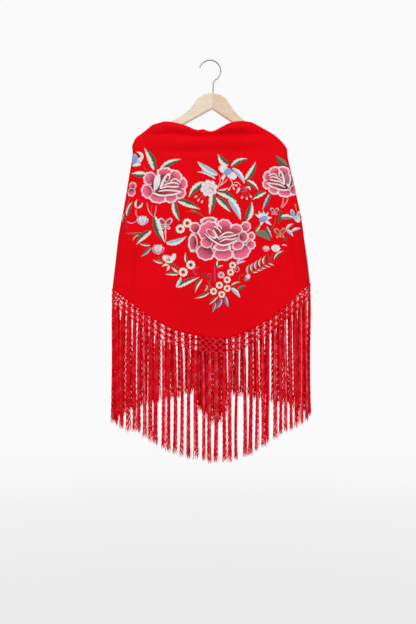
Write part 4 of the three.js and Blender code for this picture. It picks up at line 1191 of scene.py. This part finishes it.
class Shader:
    """A node material with one Principled shader, and short ways to add nodes."""

    def __init__(self, name):
        self.material = bpy.data.materials.new(name)
        self.material.use_nodes = True
        self.nodes = self.material.node_tree.nodes
        self.links = self.material.node_tree.links
        self.main = self.nodes["Principled BSDF"]

    def add(self, kind, **settings):
        made = self.nodes.new(kind)
        for key, value in settings.items():
            setattr(made, key, value)
        return made

    def set(self, **values):
        for key, value in values.items():
            self.main.inputs[key.replace("_", " ")].default_value = value

    def link(self, source, target):
        self.links.new(source, target)

    def base_from(self, source):
        self.link(source, self.main.inputs["Base Color"])

    def relief_from(self, bump):
        self.link(bump.outputs["Normal"], self.main.inputs["Normal"])

    def attribute(self, name, output="Color"):
        return self.add("ShaderNodeAttribute", attribute_name=name).outputs[output]

    def darkened(self, colour, by, factor):
        """A colour multiplied by another one."""
        made = self.add("ShaderNodeMix", data_type="RGBA", blend_type="MULTIPLY")
        made.inputs["Factor"].default_value = factor
        self.link(colour, made.inputs["A"])
        self.link(by, made.inputs["B"])
        return made.outputs["Result"]

    def noise(self, scale, detail, vector=None, roughness=0.55):
        made = self.add("ShaderNodeTexNoise")
        made.inputs["Scale"].default_value = scale
        made.inputs["Detail"].default_value = detail
        made.inputs["Roughness"].default_value = roughness
        if vector is None:
            vector = self.add("ShaderNodeTexCoord").outputs["Object"]
        self.link(vector, made.inputs["Vector"])
        return made.outputs["Fac"]

    def ramp(self, factor, stops):
        made = self.add("ShaderNodeValToRGB")
        while len(made.color_ramp.elements) < len(stops):
            made.color_ramp.elements.new(0.5)
        for element, (at, colour) in zip(made.color_ramp.elements, stops):
            element.position = at
            element.color = rgba(colour)
        self.link(factor, made.inputs["Fac"])
        return made.outputs["Color"]

    def bump(self, height, strength, distance, under=None):
        made = self.add("ShaderNodeBump")
        made.inputs["Strength"].default_value = strength
        made.inputs["Distance"].default_value = distance * MM
        self.link(height, made.inputs["Height"])
        if under is not None:
            self.link(under.outputs["Normal"], made.inputs["Normal"])
        return made

    def stretched(self, x, y, z):
        made = self.add("ShaderNodeMapping")
        made.inputs["Scale"].default_value = (x, y, z)
        self.link(self.add("ShaderNodeTexCoord").outputs["Object"], made.inputs["Vector"])
        return made.outputs["Vector"]


CREPE_TONES = [(0.3, srgb(222, 1, 13)), (0.5, srgb(228, 1, 17)), (0.72, srgb(235, 2, 20))]
# The fringe's red tones; the pale pink at their top end is painted sheen.
FRINGE_TONES_AND_SHEEN = [
    (0.0, srgb(240, 0, 20)),
    (0.4, srgb(255, 12, 34)),
    (0.8, srgb(255, 54, 72)),
    (1.0, srgb(255, 130, 144)),
]
WIRE_TONES = [(0.3, srgb(150, 149, 140)), (0.7, srgb(172, 170, 160))]
THREAD_SHADES = [(0.25, (0.8, 0.8, 0.8)), (0.75, (1, 1, 1))]
FLECK_SHADES = [(0.34, (0.82, 0.82, 0.82)), (0.5, (1, 1, 1))]


def crepe_material():
    """Red crepe: a matt weave of twisted threads, with soft changes of tone."""
    shader = Shader("crepe_red")
    shader.base_from(shader.ramp(shader.noise(9, 3), CREPE_TONES))
    pebble = shader.bump(shader.noise(330, 2, roughness=0.7), 0.35, 0.35)
    shader.relief_from(shader.bump(shader.noise(1150, 2), 0.5, 0.18, pebble))
    shader.set(Roughness=0.7, Sheen_Weight=0.04, Sheen_Roughness=0.5)
    shader.set(Sheen_Tint=rgba(srgb(255, 60, 60)), Specular_IOR_Level=0.05)
    return shader.material


def thread_material():
    """Satin stitch: the colour of each thread, with rows of threads as relief."""
    shader = Shader("embroidery_silk")
    stitch = shader.attribute("stitch", "Vector")
    wave = shader.add("ShaderNodeTexWave", wave_type="BANDS", bands_direction="X")
    wave.inputs["Scale"].default_value = 0.42
    wave.inputs["Distortion"].default_value = 0.8
    wave.inputs["Detail"].default_value = 1
    shader.link(stitch, wave.inputs["Vector"])
    shade = shader.ramp(shader.noise(2.2, 2, stitch), THREAD_SHADES)
    shader.base_from(shader.darkened(shader.attribute("thread"), shade, 1))
    shader.relief_from(shader.bump(wave.outputs["Fac"], 0.6, 0.3))
    shader.set(Roughness=0.42, Sheen_Weight=0.1, Specular_IOR_Level=0.4)
    return shader.material


def fringe_material():
    """Crimped silk: red that goes from deep to bright from strand to strand, up to the pale pink of
    painted sheen.
    """
    shader = Shader("fringe_silk")
    shader.base_from(shader.ramp(shader.attribute("shade", "Fac"), FRINGE_TONES_AND_SHEEN))
    fibres = shader.noise(900, 2, shader.stretched(1, 1, 0.12))
    shader.relief_from(shader.bump(fibres, 0.4, 0.2))
    shader.set(Roughness=0.5, Sheen_Weight=1.0, Sheen_Roughness=0.4, Specular_IOR_Level=0.4)
    shader.set(Sheen_Tint=rgba(srgb(255, 50, 60)), Specular_Tint=rgba(srgb(255, 110, 120)))
    return shader.material


def wood_material(name, pale, deep):
    """Pale beech with fine grain along the arm, under a clear satin lacquer."""
    shader = Shader(name)
    figure = shader.noise(3.2, 4, shader.stretched(6, 30, 30))
    flecks = shader.ramp(shader.noise(60, 2, shader.stretched(1, 8, 8)), FLECK_SHADES)
    shader.base_from(shader.darkened(shader.ramp(figure, [(0.3, deep), (0.7, pale)]), flecks, 0.6))
    shader.relief_from(shader.bump(figure, 0.15, 0.2))
    shader.set(Roughness=0.42, Coat_Weight=0.35, Coat_Roughness=0.22)
    return shader.material


def wire_material():
    """Satin nickel, with faint drawing marks and small changes of gloss."""
    shader = Shader("satin_nickel")
    gloss = shader.add("ShaderNodeMapRange")
    gloss.inputs["To Min"].default_value = 0.26
    gloss.inputs["To Max"].default_value = 0.4
    shader.link(shader.noise(700, 2), gloss.inputs["Value"])
    shader.link(gloss.outputs["Result"], shader.main.inputs["Roughness"])
    shader.base_from(shader.ramp(shader.noise(40, 2), WIRE_TONES))
    shader.set(Metallic=0.85)
    return shader.material


crepe = crepe_material()
silk = thread_material()
crimped = fringe_material()

# The cloth pieces.

cloth_piece = make_mesh("shawl_cloth", sheet["points"], sheet["faces"])
thicken(cloth_piece)
piece(cloth_piece, "crepe", crepe, "shawl_front", "shawl_wing_left", "shawl_wing_right")

HEM_RADIUS = 1.05
HEM_TWIST = 0.1
HEM_TWIST_STEP = 1.3
HEM_SIDES = 8


def rolled_hems():
    """The hand-rolled hem round the whole cloth, as a cord of its own fabric."""
    parts = Parts()
    front = sheet["front"]
    own = sheet["wings"]
    hump = len(RIDGE_STEPS) - 1
    edges = [
        front[-1],
        front[0, hump : len(front[0]) - hump],
        own["left"][0, hump:],
        own["right"][0, hump:],
        own["left"][-1],
        own["right"][-1],
    ]
    for edge in edges:
        radius = HEM_RADIUS + HEM_TWIST * np.sin(np.arange(len(edge)) * HEM_TWIST_STEP)
        parts.add(*tube(sheet["points"][edge], radius, HEM_SIDES))
    return parts.build("rolled_hem")


hems = piece(rolled_hems(), "crepe", crepe)


# The tie and the two tips below it. The tie's rows: a share of its half width, and its half
# height and half depth there.
TIE_RINGS = [(-1, 16, 7), (-0.72, 20, 14), (-0.25, 22, 17), (0.25, 22, 17), (0.72, 20, 14), (1, 16, 7)]
TIE_SLANT = 0.28
TIE_BAND_EDGE = 0.52


def knot():
    """The tie: wrapped cloth, with folds that turn round it and a band across its middle."""
    along = np.linspace(-1, 1, 61)
    around = turns(96)
    at, highs, deeps = np.array(TIE_RINGS, float).T
    high = np.interp(along, at, highs)
    deep = np.interp(along, at, deeps)
    a, phi = np.meshgrid(along, around, indexing="ij")
    folds = 0.055 * np.sin(phi * 5 + a * 4.2) + 0.03 * np.sin(phi * 11 - a * 7)
    off_band = np.abs(a + TIE_SLANT * np.sin(phi))
    band = 0.1 * smooth(0.5, 0.32, off_band) * (1 + 0.3 * np.sin(a * 22))
    pinch = 1 - 0.1 * np.exp(-(((off_band - TIE_BAND_EDGE) / 0.08) ** 2))
    ends = 1 - 0.995 * smooth(0.93, 1, np.abs(a))
    size = (0.93 + folds * (1 - a * a) + band) * pinch * ends
    x = TIE_X + a * (TIE_HALF_WIDTH - 0.4)
    y = TIE_Y + np.sin(phi) * deep[:, None] * size
    z = TIE_Z + np.cos(phi) * high[:, None] * size
    return make_mesh("tie_knot", np.stack([x, y, z], -1), closed_faces(number_grid(a.shape)))


tie = piece(knot(), "crepe", crepe, "shawl_tie")

# A tip's two edges, as rows of out from the tie's middle and down from it.
TAIL_OUTER = [(9, 22), (37, 60), (4, 106)]
TAIL_INNER = [(1, 22.9), (2.5, 70), (1.2, 106.5)]
TAIL_CREASE = 4.5
TAIL_LIFT = 11


def tail_point(hand, s, t):
    """A point of a tip: s runs from its outer edge to its inner one, t from top to bottom."""
    outer = Through([(TIE_X + hand * o, TIE_Z - d) for o, d in TAIL_OUTER])
    inner = Through([(TIE_X + hand * o, TIE_Z - d) for o, d in TAIL_INNER])
    xz = mix(outer(t), inner(t), s[..., None])
    crease = TAIL_CREASE * np.sin(math.pi * s) * smooth(0, 0.3, t) * smooth(1, 0.7, t)
    pleat = 0.9 * np.sin(s * 13) * smooth(0.1, 0.4, t) * smooth(1, 0.8, t)
    y = TIE_Y + TAIL_LIFT * smooth(0, 0.55, t) - crease + pleat
    return np.stack([xz[..., 0], y, xz[..., 1]], -1)


def tail(side, hand):
    t, s = np.meshgrid(np.linspace(0, 1, 60), np.linspace(0, 1, 28), indexing="ij")
    points = tail_point(hand, s, t)
    faces = grid_faces(number_grid(s.shape), flip=hand < 0)
    panel = make_mesh(f"tail_{side}", points, faces)
    thicken(panel)
    parts = Parts()
    parts.add(*tube(points[:, 0], 1.0, HEM_SIDES))
    parts.add(*tube(points[:, -1], 0.8, HEM_SIDES))
    hem = piece(parts.build(f"tail_hem_{side}"), "crepe", crepe)
    return piece(panel, "crepe", crepe, f"shawl_tail_{side}"), hem


tails = {side: tail(side, wing.hand) for side, wing in wings.items()}


# The fringe.

FRINGE_LENGTH = 338
NET_ROWS = 5
NET_ROW = 8
NET_TOP = 1.2  # how far below the hem's line the net begins
STRAND_STEPS = 64
KNOT_SIZE = (2.5, 2.7, 2.1)
KNOT_JITTER = 0.35
STRANDS_IN_CORD = 3
CORD_RADIUS = 1.2
CORD_TWIST = 0.8  # turns from one knot to the next
CORD_WIDE = 1.6
CORD_DEEP = 1.1
CRIMP = 0.75
CRIMP_WAVES = (14, 18)
STREAK_WAVE = 42
FULL_TASSEL_ROOM = 12
# Where the tassels part and the wall shows between them: x in mm, and how far each side moves away.
PARTINGS = [(-229, 2.4), (-136, 2.2), (-48, 1.2), (-29, 1.5), (65, 1.2), (83, 4.2), (100, 1), (165, 3)]
PARTING_REACH = 13
# The outer tassels hang lower: what is added grows from the one distance to the other.
SIDE_LONGER = 24
SIDE_FROM_X = 180
SIDE_TO_X = 245
FRONT_SEED = 3
WING_SEED = 5
TAIL_SEED = 9
FRONT_TASSELS = 34
WING_TASSELS = 15
WING_FRINGE_END = 0.95
WING_LONGER = 16
# How far a wing's tassels move along the front's hem towards the tie, in tassels.
WING_SHIFT = {-1: 0.5, 1: 0.12}
TAIL_TASSELS = 7
TAIL_FRINGED_FROM = 0.54
TAIL_FRINGED_TO = 0.985
TAIL_LONGER = {"left": 4, "right": 26}
HEM_DROP = np.array([0, 0, -0.6])


def even_hem(path):
    """A function of 0 to 1 along a path at even length."""
    at = np.concatenate([[0], np.cumsum(np.linalg.norm(np.diff(path, axis=0), axis=1))])

    def hem(u):
        return along_path(path, at, u * at[-1])

    return hem


def net_knot(centre, wide, high, deep):
    """A small overhand knot: a ball with a groove round it."""
    lat = np.linspace(0, math.pi, 6)
    lon = turns(8)
    a, b = np.meshgrid(lat, lon, indexing="ij")
    groove = 1 - 0.16 * np.exp(-(((a - math.pi / 2) / 0.3) ** 2))
    x = np.sin(a) * np.cos(b) * wide * groove
    y = np.sin(a) * np.sin(b) * deep * groove
    z = np.cos(a) * high
    return centre + np.stack([x, y, z], -1), closed_faces(number_grid(a.shape))


def lean(x):
    """How far a tassel that hangs at x leans away from the partings beside it."""
    moved = 0
    for at, move in PARTINGS:
        moved += move * math.tanh((x - at) / 2) * math.exp(-abs(x - at) / PARTING_REACH)
    return moved


def fringe(name, hem, tassels, outward, seed, strands, fullness, thick=1.45, least=7.5, longer=0):
    """A hem's fringe: five rows of knots, and a tassel of crimped strands from each last one.

    outward is the side that the net's cords lie to, thick a strand's radius at its head, and
    least the room that a tassel takes at the least. longer is added to the tassels' length.
    """
    draw = np.random.default_rng(seed)
    parts = {"net": Parts(), "tassels_left": Parts(), "tassels_right": Parts()}
    # Odd rows of knots sit below the tassels' middles, even ones between them.
    knots = {}
    for row in range(NET_ROWS + 1):
        odd = row % 2
        for k in range(tassels + 1 - odd):
            across = k + odd / 2
            jitter = draw.normal(0, KNOT_JITTER, 3) if row else np.zeros(3)
            place = hem(across / tassels) + jitter * [1, 0.4, 1]
            knots[row, across] = place - [0, 0, NET_TOP + row * NET_ROW]
    add_net(parts["net"], knots, outward, draw)
    for k in range(tassels):
        head = knots[NET_ROWS, k + 0.5]
        extra = max(longer, SIDE_LONGER * smooth(SIDE_FROM_X, SIDE_TO_X, abs(head[0])))
        length = FRINGE_LENGTH + extra - NET_TOP - NET_ROWS * NET_ROW - 5 * abs(math.sin(k * 5.3))
        room = abs(hem((k + 1) / tassels)[0] - hem(k / tassels)[0])
        narrow = min(1, max(room, least) / FULL_TASSEL_ROOM)
        half = "tassels_left" if 2 * k < tassels else "tassels_right"
        tassel(parts[half], head, length, narrow, strands, fullness, thick, draw)
    return [
        piece(made.build(f"fringe_{name}_{kind}"), "fringe_thread", crimped, f"fringe_{name}")
        for kind, made in parts.items()
    ]


def add_net(net, knots, outward, draw):
    """The knots, and twisted cords from each to the two below it."""
    steps = np.linspace(0, 1, 5)
    for (row, across), here in knots.items():
        # The knots take only the deeper tones, painted shade in them; the cords reach paler ones, up to
        # the painted sheen.
        net.add(*net_knot(here, *KNOT_SIZE), draw.uniform(0.0, 0.45))
        for move in (-0.5, 0.5):
            below = knots.get((row + 1, across + move))
            if below is None:
                continue
            line = mix(here, below, steps[:, None]) + [0, outward * 0.2, 0]
            for strand in range(STRANDS_IN_CORD):
                turn = 2 * math.pi * (steps * CORD_TWIST + strand / STRANDS_IN_CORD)
                around = np.stack([np.cos(turn) * CORD_WIDE, np.sin(turn) * CORD_DEEP, 0 * turn], -1)
                net.add(*tube(line + around, CORD_RADIUS, 4), draw.uniform(0.1, 0.85))


def tassel(parts, head, length, narrow, strands, fullness, thick, draw):
    """Strands that leave one knot together and open towards their ends."""
    drift = draw.normal(0, 1.6) * narrow
    parted = lean(head[0])
    wobble = draw.uniform(0, 6.3)
    tone = draw.uniform(0.25, 0.6)
    t = np.linspace(0, 1, STRAND_STEPS)
    for j in range(strands):
        angle = 2 * math.pi * (j + draw.uniform(0, 0.8)) / strands
        spread = draw.uniform(0.3, 1.2) * fullness
        own = length - abs(draw.normal(0, 8))
        opened = (1.9 + 1.2 * smooth(0, 0.1, t) + 2.4 * t + 1.2 * smooth(0.86, 1, t)) * spread
        wavelength = draw.uniform(*CRIMP_WAVES)
        phase = draw.uniform(0, 6.3) + t * own / wavelength * 2 * math.pi
        crimp = CRIMP * smooth(0, 0.1, t)
        slow = np.sin(t * length / 60 + wobble) * 0.8
        slow = slow + drift * smooth(0, 0.9, t) + parted * smooth(0, 0.16, t)
        x = (math.cos(angle) * opened + np.cos(phase) * crimp) * narrow + slow
        y = (math.sin(angle) * opened * 0.5 + np.sin(phase) * crimp * 0.7) * narrow
        path = head + np.stack([x, y, -t * own], -1)
        radius = thick * narrow * (1 - 0.25 * t) * (1 - 0.6 * smooth(0.96, 1, t))
        # The tone moves in slow lighter and darker stretches along the strand, and with the crimp's
        # bends as painted sheen.
        streaks_and_crimp_sheen = 0.22 * np.sin(t * own / STREAK_WAVE * 2 * math.pi + 3 * wobble) + 0.16 * np.cos(phase)
        value = np.repeat(np.clip(tone + draw.normal(0, 0.2) + streaks_and_crimp_sheen, 0, 1), 3)
        parts.add(*tube(path, radius, 3), value)


def behind_front(path, hand):
    """A wing's hem, from its fold, as a function of 0 to 1: its tassels hang behind the front's own."""
    front = even_hem(sheet["points"][sheet["front"][-1]])
    steps = np.linspace(0, 1, 61)
    shifted = steps * WING_TASSELS + WING_SHIFT[hand] * smooth(7, 10.5, steps * WING_TASSELS)
    share = shifted / FRONT_TASSELS
    seen = front(share if hand < 0 else 1 - share)[:, 0]
    inward = np.maximum.accumulate(-hand * (seen - seen[0]))
    reach = np.maximum.accumulate(-hand * (path[:, 0] - path[0, 0]))

    def hem(u):
        return along_path(path, reach, np.interp(1 - u if hand < 0 else u, steps, inward))

    return hem


def wing_fringe(side, wing):
    whole = sheet["points"][sheet["wings"][side][-1]]
    along = np.linspace(0, WING_FRINGE_END, 300)
    path = along_path(whole, wing_columns(wing), along)
    hem = behind_front(path + HEM_DROP, wing.hand)
    sizes = {"thick": 1.75, "longer": WING_LONGER}
    return fringe(f"wing_{side}", hem, WING_TASSELS, 1, WING_SEED + wing.hand, 16, 1.35, **sizes)


def tail_fringe(side, wing):
    t = np.linspace(TAIL_FRINGED_FROM, TAIL_FRINGED_TO, 60)
    edge = tail_point(wing.hand, np.zeros_like(t), t)
    hem = even_hem(edge[:: wing.hand] + HEM_DROP)
    sizes = {"thick": 1.6, "least": 12, "longer": TAIL_LONGER[side]}
    return fringe(f"tail_{side}", hem, TAIL_TASSELS, 1, TAIL_SEED + wing.hand, 14, 2.0, **sizes)


front_hem = even_hem(sheet["points"][sheet["front"][-1]] + HEM_DROP)
front_fringe = fringe("front", front_hem, FRONT_TASSELS, -1, FRONT_SEED, 15, 0.92)
wing_fringes = [made for side, wing in wings.items() for made in wing_fringe(side, wing)]
tail_fringes = {side: tail_fringe(side, wing) for side, wing in wings.items()}

front_work = front_embroidery()
back_work = wing_embroidery()

# The hook's wire, and the wood.

WIRE_RADIUS = 1.7
LOOP_RADIUS = 28.9
HANGER_TILT = math.radians(2.6)
LOOP_CENTRE_Z = -(LOOP_RADIUS - WIRE_RADIUS)
# The loop runs from its free end, in degrees, to the bend; the shank goes down into the wood.
LOOP_START = 162
LOOP_END = -44
BEND = [(12.2, -27.6), (10.6, -34), (10.6, -40)]
SHANK_X = 10.6
SHANK_TOP = -42
SHANK_END = -82.5
WIRE_SIDES = 20
# The wire's free end is rounded: how far it reaches, and the turns of its rings.
WIRE_TIP = 1.55
WIRE_TIP_TURNS = np.array([1.35, 0.95, 0.5])


def hung_flat(x, z):
    """A place of the hanger's own plane, turned round the loop's centre by the hanger's lean."""
    cos, sin = math.cos(HANGER_TILT), math.sin(HANGER_TILT)
    return x * cos + z * sin, -x * sin + z * cos + LOOP_CENTRE_Z


def hook():
    """The wire from its rounded tip over the loop and down into the wood."""
    angles = np.radians(np.linspace(LOOP_START, LOOP_END, 64))
    loop = LOOP_RADIUS * np.stack([np.cos(angles), np.sin(angles)], -1)
    bend = Through([tuple(loop[-1]), *BEND])(np.linspace(0, 1, 16))[1:]
    shank = np.stack([np.full(12, SHANK_X), np.linspace(SHANK_TOP, SHANK_END, 12)], -1)
    tip = loop[0] + WIRE_TIP * np.sin(WIRE_TIP_TURNS)[:, None] * unit(loop[0] - loop[1])
    flat = np.concatenate([tip, loop, bend, shank])
    radius = np.full(len(flat), WIRE_RADIUS)
    radius[: len(tip)] *= np.cos(WIRE_TIP_TURNS)
    x, z = hung_flat(*flat.T)
    path = np.stack([x, np.zeros_like(x), z], -1)
    parts = Parts()
    parts.add(*tube(path, radius, WIRE_SIDES))
    return parts.build("hook_wire_smooth")


piece(hook(), "hook_wire", wire_material(), "hook")

# The wood's edges: rows of out from the joint and down from the crown.
WOOD_X = 10.2
WOOD_TOP = 59
WOOD_SHARP_FROM = math.radians(28)
ARM_UPPER = [
    (0.05, 0), (10, 1.1), (20, 3.8), (30, 9.2), (37, 15), (44, 23.5), (51, 34), (58, 43.6), (66, 52.2),
    (76, 61.2), (87, 69), (97, 75), (108, 81), (134, 92.5), (156, 102), (170, 110), (188, 125.5),
    (199, 141),
]
ARM_LOWER = [(0.05, 44.5), (60, 81.3), (118, 117), (184, 152)]
# Corners of its section, as rows of the height from an edge and y: a chamfer below, rounded above.
SECTION_LOWER = [(4.6, -6), (0, -2.2), (0, 3.5), (2.4, 6)]
ROUNDED = [(-3.4, 6), (-2.4, 6), (-0.7, 5.3), (0, 3.6)]
SECTION_UPPER = ROUNDED + [(height, -y) for height, y in reversed(ROUNDED)]


def wood_arm(side, hand):
    """One arm, lofted from the joint to its end under the cloth."""
    u = np.linspace(0, 1, 90)
    upper = Through(ARM_UPPER)(u)
    lower = Through(ARM_LOWER)(u)
    rise = unit(upper - lower)
    rings = []
    for base, corners in ((lower, SECTION_LOWER), (upper, SECTION_UPPER)):
        for height, y in corners:
            out, down = (base + rise * height).T
            x, z = hung_flat(WOOD_X + hand * out, -WOOD_TOP - down)
            rings.append(np.stack([x, np.full_like(x, y), z], -1))
    index = number_grid((len(u), len(rings)))
    parts = Parts()
    parts.add(np.stack(rings, 1), closed_faces(index, flip=hand > 0))
    parts.faces += [index[:1, ::-hand], index[-1:, ::hand]]
    arm = parts.build(f"hanger_wood_{side}")
    arm.data.set_sharp_from_angle(angle=WOOD_SHARP_FROM)
    return arm


# Each arm's pale tone and its deeper one. The right arm's tones are darker: painted shade, as the light
# comes from the left.
ARM_TONES_WITH_PAINTED_SHADE = {
    "left": (srgb(240, 224, 202), srgb(232, 212, 187)),
    "right": (srgb(234, 210, 186), srgb(223, 196, 168)),
}
for side, wing in wings.items():
    wood = wood_material(f"beech_{side}", *ARM_TONES_WITH_PAINTED_SHADE[side])
    piece(wood_arm(side, wing.hand), "hanger_wood", wood, f"hanger_arm_{side}")

# The stage: a pale bowl round the part, soft lights and the camera.

FLOOR_Z = -1650
FLOOR_RADIUS = 4200
CURVE_RADIUS = 1800
WALL_HEIGHT = 9000
SHADED_FLOOR_TONE = srgb(236, 235, 236)
WALL_TONE = srgb(250, 250, 251)
# Between these two distances from the middle, the floor's darker tone, painted shade, goes over to the
# wall's.
TONE_FROM = 600
TONE_TO = 4600


def stage_bowl():
    """A round floor that curves up into a wall on all sides."""
    curve = np.linspace(0.1, math.pi / 2, 14)
    outer = FLOOR_RADIUS + CURVE_RADIUS * np.sin(curve)
    radii = np.concatenate([np.linspace(0, FLOOR_RADIUS, 8), outer, outer[-1:]])
    heights = np.concatenate([np.zeros(8), CURVE_RADIUS * (1 - np.cos(curve)), [WALL_HEIGHT]])
    phi = turns(64)
    r, a = np.meshgrid(radii, phi, indexing="ij")
    z = FLOOR_Z + np.broadcast_to(heights[:, None], r.shape)
    points = np.stack([r * np.cos(a), r * np.sin(a), z], -1)
    # The bowl glows in these tones: the floor is darker near the middle as painted shade.
    tones = mix(SHADED_FLOOR_TONE, WALL_TONE, smooth(TONE_FROM, TONE_TO, r)[..., None])
    colours = np.concatenate([tones, np.ones((*r.shape, 1))], -1)
    faces = closed_faces(number_grid(r.shape))
    bowl = make_mesh("backdrop", points, faces, [("pale", "FLOAT_COLOR", colours)])
    shader = Shader("backdrop_pale")
    shader.set(Base_Color=(0, 0, 0, 1), Specular_IOR_Level=0.0, Emission_Strength=1.0)
    shader.link(shader.attribute("pale"), shader.main.inputs["Emission Color"])
    bowl.data.materials.append(shader.material)
    bowl.visible_shadow = False
    bowl.visible_diffuse = False
    bowl.visible_glossy = False


stage_bowl()

world = bpy.data.worlds.new("soft white")
world.use_nodes = True
background = world.node_tree.nodes["Background"].inputs
background["Color"].default_value = (1.0, 0.99, 0.985, 1)
background["Strength"].default_value = 0.5
bpy.context.scene.world = world
bpy.context.scene.view_settings.view_transform = "Standard"


# Area lights: name, place, the height of the point on the axis that they face, size and watts.
LIGHTS = [
    ("key from the upper left", (-1.5, -3.1, 1.5), -0.55, (1.4, 1.4), 62),
    ("light from above", (0.1, -1.0, 1.9), -0.4, (0.8, 0.6), 8),
    ("fill from the right", (2.2, -1.8, -0.6), -0.55, (1.8, 1.8), 14),
    ("soft light on the back", (0.8, 2.6, 0.8), -0.55, (2.0, 2.0), 40),
]
for name, place, target_z, size, watts in LIGHTS:
    lamp = bpy.data.lights.new(name, "AREA")
    lamp.shape = "RECTANGLE"
    lamp.size, lamp.size_y = size
    lamp.energy = watts
    light = bpy.data.objects.new(name, lamp)
    bpy.context.collection.objects.link(light)
    light.location = place
    aim = Vector((0, 0, target_z)) - Vector(place)
    light.rotation_euler = aim.to_track_quat("-Z", "Y").to_euler()

camera_data = bpy.data.cameras.new("photo")
camera_data.sensor_fit = "AUTO"
camera_data.sensor_width = 36
camera_data.lens = 59.8
camera = bpy.data.objects.new("photo", camera_data)
bpy.context.collection.objects.link(camera)
camera.location = (-0.0054, -2.8, -0.6785)
camera.rotation_euler = (math.radians(90), 0, 0)
bpy.context.scene.camera = camera

bpy.context.view_layer.update()
